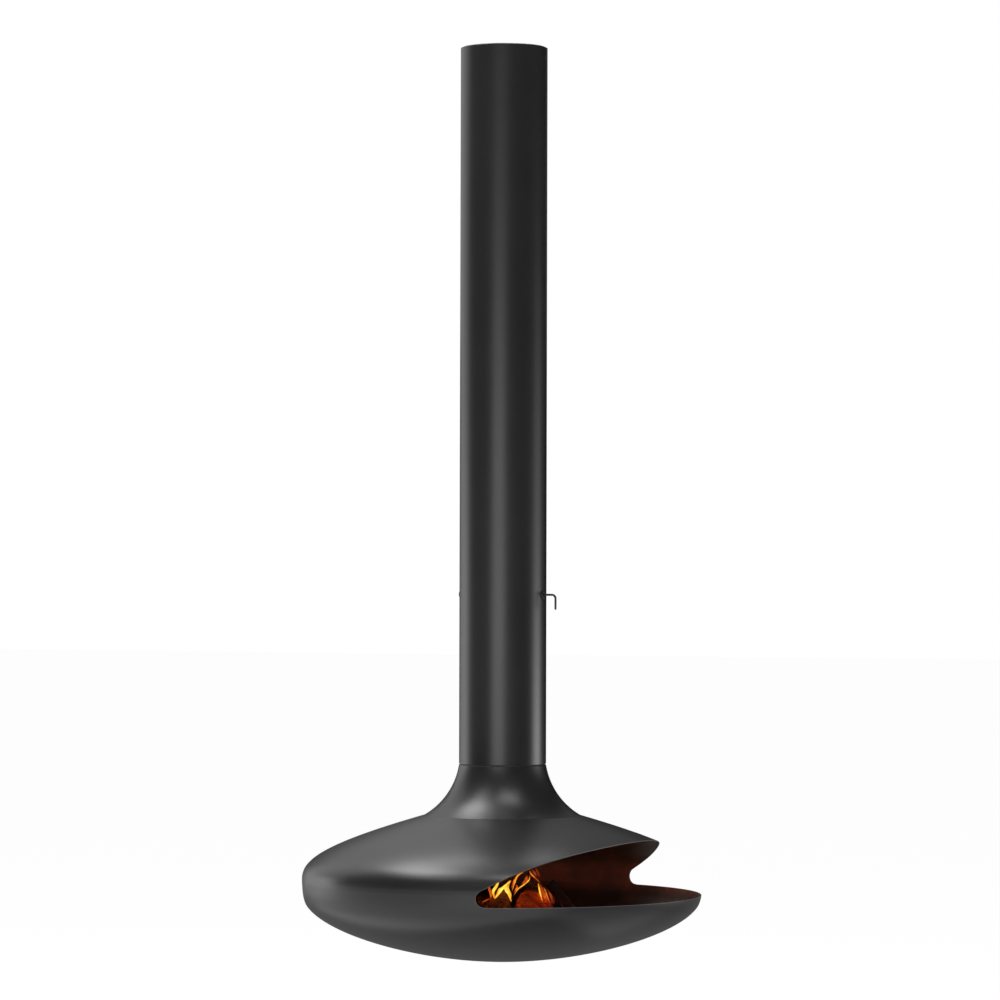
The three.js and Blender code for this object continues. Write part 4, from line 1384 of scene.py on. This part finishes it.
def build_embers():
    """Charcoal lumps under and between the logs, over the grate and the bricks round it."""
    count, heap_r, grate_r = 150, 0.235, 0.165
    rng = random.Random(11)
    bricks_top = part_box("firebrick_1")[1].z
    grate_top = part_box("fire_grate")[1].z
    form = bmesh.new()
    for _ in range(count):
        angle, reach = rng.uniform(0, math.tau), heap_r * math.sqrt(rng.random())
        size = rng.uniform(0.008, 0.019)
        x, y = reach * math.cos(angle), reach * math.sin(angle)
        ground = bricks_top if math.hypot(x, y) > grate_r else grate_top
        heaped = rng.random() * 0.012 if ground == grate_top else 0
        place = Vector((x, y, ground + size * 0.55 + heaped))
        turn = rng.uniform(0, math.tau)
        spin = Matrix.Rotation(turn, 4, Vector((rng.random(), rng.random(), 1)).normalized())
        stretch = Matrix.Diagonal((rng.uniform(0.9, 1.6), rng.uniform(0.7, 1.1), rng.uniform(0.6, 0.9), 1))
        made = bmesh.ops.create_icosphere(form, subdivisions=2, radius=size)["verts"]
        offset = Vector((rng.random(), rng.random(), rng.random())) * 9
        for v in made:
            v.co *= 1 + 0.35 * noise.noise(v.co * (1.3 / size) + offset)
            v.co = place + spin @ (stretch @ v.co)
            v.co.z = max(v.co.z, ground + 0.0006)
    mesh = bpy.data.meshes.new("ember_lumps")
    form.to_mesh(mesh)
    form.free()
    mesh.materials.append(EMBERS)
    lumps = place_in_scene("ember_lumps", mesh)
    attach(lumps, "flue_and_hearth")


def build_ash():
    """A thin drift of ash over the bricks, thickest round the grate."""
    bricks_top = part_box("firebrick_1")[1].z
    inner, outer, depth = 0.163, 0.290, 0.0075
    rings, around = 26, 180
    ways = round_ways(around)
    verts = []
    for i in range(rings + 1):
        t = i / rings
        for across, ahead in ways:
            wobble = 1 + 0.10 * t * noise.noise(Vector((across * 2.2, ahead * 2.2, 3)))
            r = (inner + (outer - inner) * t) * (wobble if t else 1)
            ripple = 0.75 + 0.5 * noise.noise(Vector((r * 40 * across, r * 40 * ahead, 0)))
            height = depth * (1 - t) ** 0.7 * ripple
            verts.append((r * across, r * ahead, bricks_top + 0.0002 + max(height, 0)))
    faces = round_faces(rings + 1, around, flip=True)
    base = len(verts)
    for i in (0, rings):
        verts += [(x, y, bricks_top + 0.0001) for x, y, _ in verts[i * around:(i + 1) * around]]
    last = rings * around
    for k in range(around):
        n = (k + 1) % around
        faces.append((k, n, base + n, base + k))
        faces.append((last + n, last + k, base + around + k, base + around + n))
        faces.append((base + k, base + n, base + around + n, base + around + k))
    piece("ash_drift", verts, faces, [ASH], "flue_and_hearth")


# Each lick of fire: its heat, its width and the points that it runs through, as (along, aside, up) in the
# pile's frame. The thin ones play over the near ends of the logs, and the thick ones stand round the pile.
LICKS = [
    (0.84, 0.0085, [(-.009, -.160, .157), (-.016, -.162, .144), (-.0245, -.165, .129),
                    (-.021, -.168, .110)]),
    (0.90, 0.008, [(-.021, -.168, .109), (-.011, -.167, .122), (.001, -.165, .138),
                   (.013, -.162, .149), (.025, -.160, .161)]),
    (0.72, 0.007, [(-.016, -.166, .122), (-.006, -.166, .136), (.008, -.163, .140), (.020, -.162, .152)]),
    (0.92, 0.007, [(.025, -.160, .160), (.011, -.163, .138), (.019, -.168, .123), (.027, -.172, .102)]),
    (0.75, 0.009, [(.020, -.160, .150), (.016, -.163, .138), (.022, -.168, .124), (.026, -.170, .112)]),
    (0.66, 0.0040, [(.061, -.150, .184), (.044, -.155, .173), (.036, -.160, .154), (.029, -.165, .131)]),
    (0.34, 0.007, [(.052, -.148, .180), (.040, -.153, .168), (.032, -.158, .150), (.027, -.163, .136)]),
    (0.66, 0.0035, [(.079, -.150, .175), (.077, -.155, .162), (.064, -.160, .150),
                    (.046, -.167, .137), (.033, -.173, .118)]),
    (0.36, 0.009, [(.072, -.148, .176), (.068, -.150, .160), (.055, -.154, .148)]),
    (0.40, 0.006, [(.040, -.160, .150), (.043, -.163, .140), (.033, -.165, .126)]),
    (0.42, 0.004, [(.077, -.150, .190), (.083, -.150, .178), (.095, -.152, .167), (.109, -.155, .154)]),
    (0.14, 0.008, [(.083, -.145, .192), (.093, -.147, .180), (.105, -.150, .166)]),
    (0.18, 0.005, [(.095, -.145, .196), (.101, -.147, .184), (.109, -.150, .169)]),
    (0.80, 0.0045, [(.103, -.168, .154), (.106, -.172, .137), (.110, -.176, .120), (.115, -.180, .104)]),
    (0.30, 0.010, [(.107, -.166, .152), (.113, -.170, .134), (.121, -.174, .116), (.129, -.178, .096)]),
    (0.44, 0.004, [(.117, -.168, .144), (.124, -.172, .130), (.130, -.176, .114), (.137, -.180, .095)]),
    (0.20, 0.006, [(.129, -.165, .135), (.139, -.170, .117), (.147, -.176, .092)]),
    (0.33, 0.008, [(-.041, -.150, .150), (-.035, -.152, .135), (-.031, -.155, .118), (-.034, -.158, .100)]),
    (0.26, 0.004, [(-.058, -.160, .098), (-.045, -.160, .104), (-.030, -.160, .112)]),
    (0.60, 0.016, [(.034, -.030, .006), (.028, -.025, .028), (.034, -.020, .052)]),
    (0.60, 0.018, [(.010, .060, .006), (.016, .055, .030), (.008, .050, .055)]),
    (0.55, 0.018, [(-.095, -.010, .004), (-.100, .000, .028), (-.092, .005, .050)]),
    (0.55, 0.018, [(-.110, .100, .060), (-.104, .102, .075), (-.112, .100, .090)]),
    (0.55, 0.018, [(.125, .130, .030), (.120, .126, .050), (.126, .120, .070)]),
    (0.55, 0.016, [(.000, -.150, .010), (.006, -.152, .030), (.002, -.154, .052)]),
    (0.55, 0.016, [(.100, -.190, .006), (.094, -.192, .026), (.100, -.194, .048)]),
    (0.55, 0.016, [(-.090, -.150, .006), (-.084, -.152, .026), (-.090, -.154, .050)]),
    (0.50, 0.016, [(.180, -.090, .006), (.174, -.092, .026), (.180, -.094, .046)]),
]


def smooth_path(points, steps):
    """Evenly stepped points along a smooth curve that runs through the given ones."""
    path = []
    for i in range(steps + 1):
        t = (len(points) - 1) * i / steps
        k = min(int(t), len(points) - 2)
        before, start, end, after = (points[min(max(k + n, 0), len(points) - 1)] for n in (-1, 0, 1, 2))
        t -= k
        square, cube = 2 * before - 5 * start + 4 * end - after, 3 * start - before - 3 * end + after
        path.append(0.5 * (2 * start + (end - before) * t + square * t ** 2 + cube * t ** 3))
    return path


def build_flames():
    """Licks of fire, each a curved tongue that is thickest in its middle and drawn out at its ends."""
    bricks_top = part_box("firebrick_1")[1].z
    place = Matrix.Rotation(PILE_HEAD, 4, "Z") @ Matrix.Translation((0, 0, bricks_top))
    steps, sides, point_r, flatness = 30, 12, 0.0003, 0.5
    depth_way = Vector((0, 1, 0))
    verts, faces, uvs = [], [], []
    for heat, width, points in LICKS:
        path = smooth_path([Vector(p) for p in points], steps)
        first = len(verts)
        for i, point in enumerate(path):
            v = i / steps
            ahead = (path[min(i + 1, steps)] - path[max(i - 1, 0)]).normalized()
            wide_way = depth_way.cross(ahead).normalized()
            half = max(width / 2 * math.sin(math.pi * (0.06 + 0.90 * v)) ** 0.8, point_r)
            half *= 1 + 0.25 * noise.noise(Vector((v * 5, heat * 9, width * 900)))
            verts += [place @ (point + wide_way * half * across + depth_way * half * flatness * deep)
                      for across, deep in round_ways(sides)]
            uvs += [(heat, v)] * sides
        faces += bar_faces(steps + 1, sides, first)
    made = piece("flames", verts, faces, [FLAME], "flue_and_hearth")
    lay_grain(made, uvs)
    made.visible_shadow = False


# ---- Making it -----------------------------------------------------------------------------------

bpy.context.scene.view_settings.view_transform = "Standard"
make_studio()
COAT_GRAIN, SOOT, WOOD_GRAIN = build_coat_grain(), build_soot(), build_wood_grain()
PAINT, SOOT_AND_PAINTED_GLOW, EDGE_PAINTED_HIGHLIGHT = black_paint(), soot_and_painted_glow_paint(), edge_paint_with_painted_highlight()
STEEL, IRON = bare_steel(), cast_iron()
BRICK, FIBRE = firebrick(), glass_fibre()
BROWN_FIBRES = [(0.0, (0.012, 0.005, 0.003)), (0.5, (0.055, 0.020, 0.009)), (1.0, (0.15, 0.06, 0.025))]
# Lighter, redder fibres: the fire's light painted onto the front cross log.
PAINTED_FIRELIGHT_FIBRES = [(0.0, (0.015, 0.003, 0.002)), (0.35, (0.12, 0.016, 0.005)), (0.7, (0.30, 0.050, 0.011)),
              (1.0, (0.60, 0.17, 0.040))]
# Darker fibres: painted shade, a dim copy of the red wood for the rear and leaning logs.
PAINTED_SHADE_FIBRES = [(0.0, (0.007, 0.0025, 0.0018)), (0.5, (0.034, 0.009, 0.005)), (1.0, (0.08, 0.024, 0.012))]
DARK_FIBRES = [(0.0, (0.003, 0.003, 0.005)), (0.6, (0.009, 0.010, 0.014)), (1.0, (0.024, 0.024, 0.030))]
WOOD = burning_wood("smoked_wood", BROWN_FIBRES, 0.18, 1.2)
# The burning_wood material carries the painted firelight of the front cross log.
WOOD_PAINTED_FIRELIGHT = burning_wood("burning_wood", PAINTED_FIRELIGHT_FIBRES, 0.10, 0.5)
WOOD_PAINTED_SHADE = burning_wood("red_wood_painted_shade", PAINTED_SHADE_FIBRES, 0.25, 0.12)
WOOD_CHARRED = burning_wood("charred_wood", DARK_FIBRES, 0.35, 0.1)
WOODS = {"log_base_near": WOOD, "log_base_far": WOOD, "log_cross_front": WOOD_PAINTED_FIRELIGHT, "log_cross_rear": WOOD_PAINTED_SHADE,
         "log_top": WOOD_CHARRED, "log_leaning": WOOD_PAINTED_SHADE}
EMBERS, ASH, FLAME = hot_embers(), grey_ash(), flame()
DAMPER_Z = sum(corner.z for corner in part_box("front_bush")) / 2

build_ceiling_support()
eased_copy("bearing_ball_cage", STEEL, "ball_cage", width=0.0001, angle=60)
build_flue()
build_handle_fittings()
build_damper()
build_neck()
build_hearth_shell()
build_hearth_fittings()
build_fire_bed()
build_logs()
build_embers()
build_ash()
build_flames()
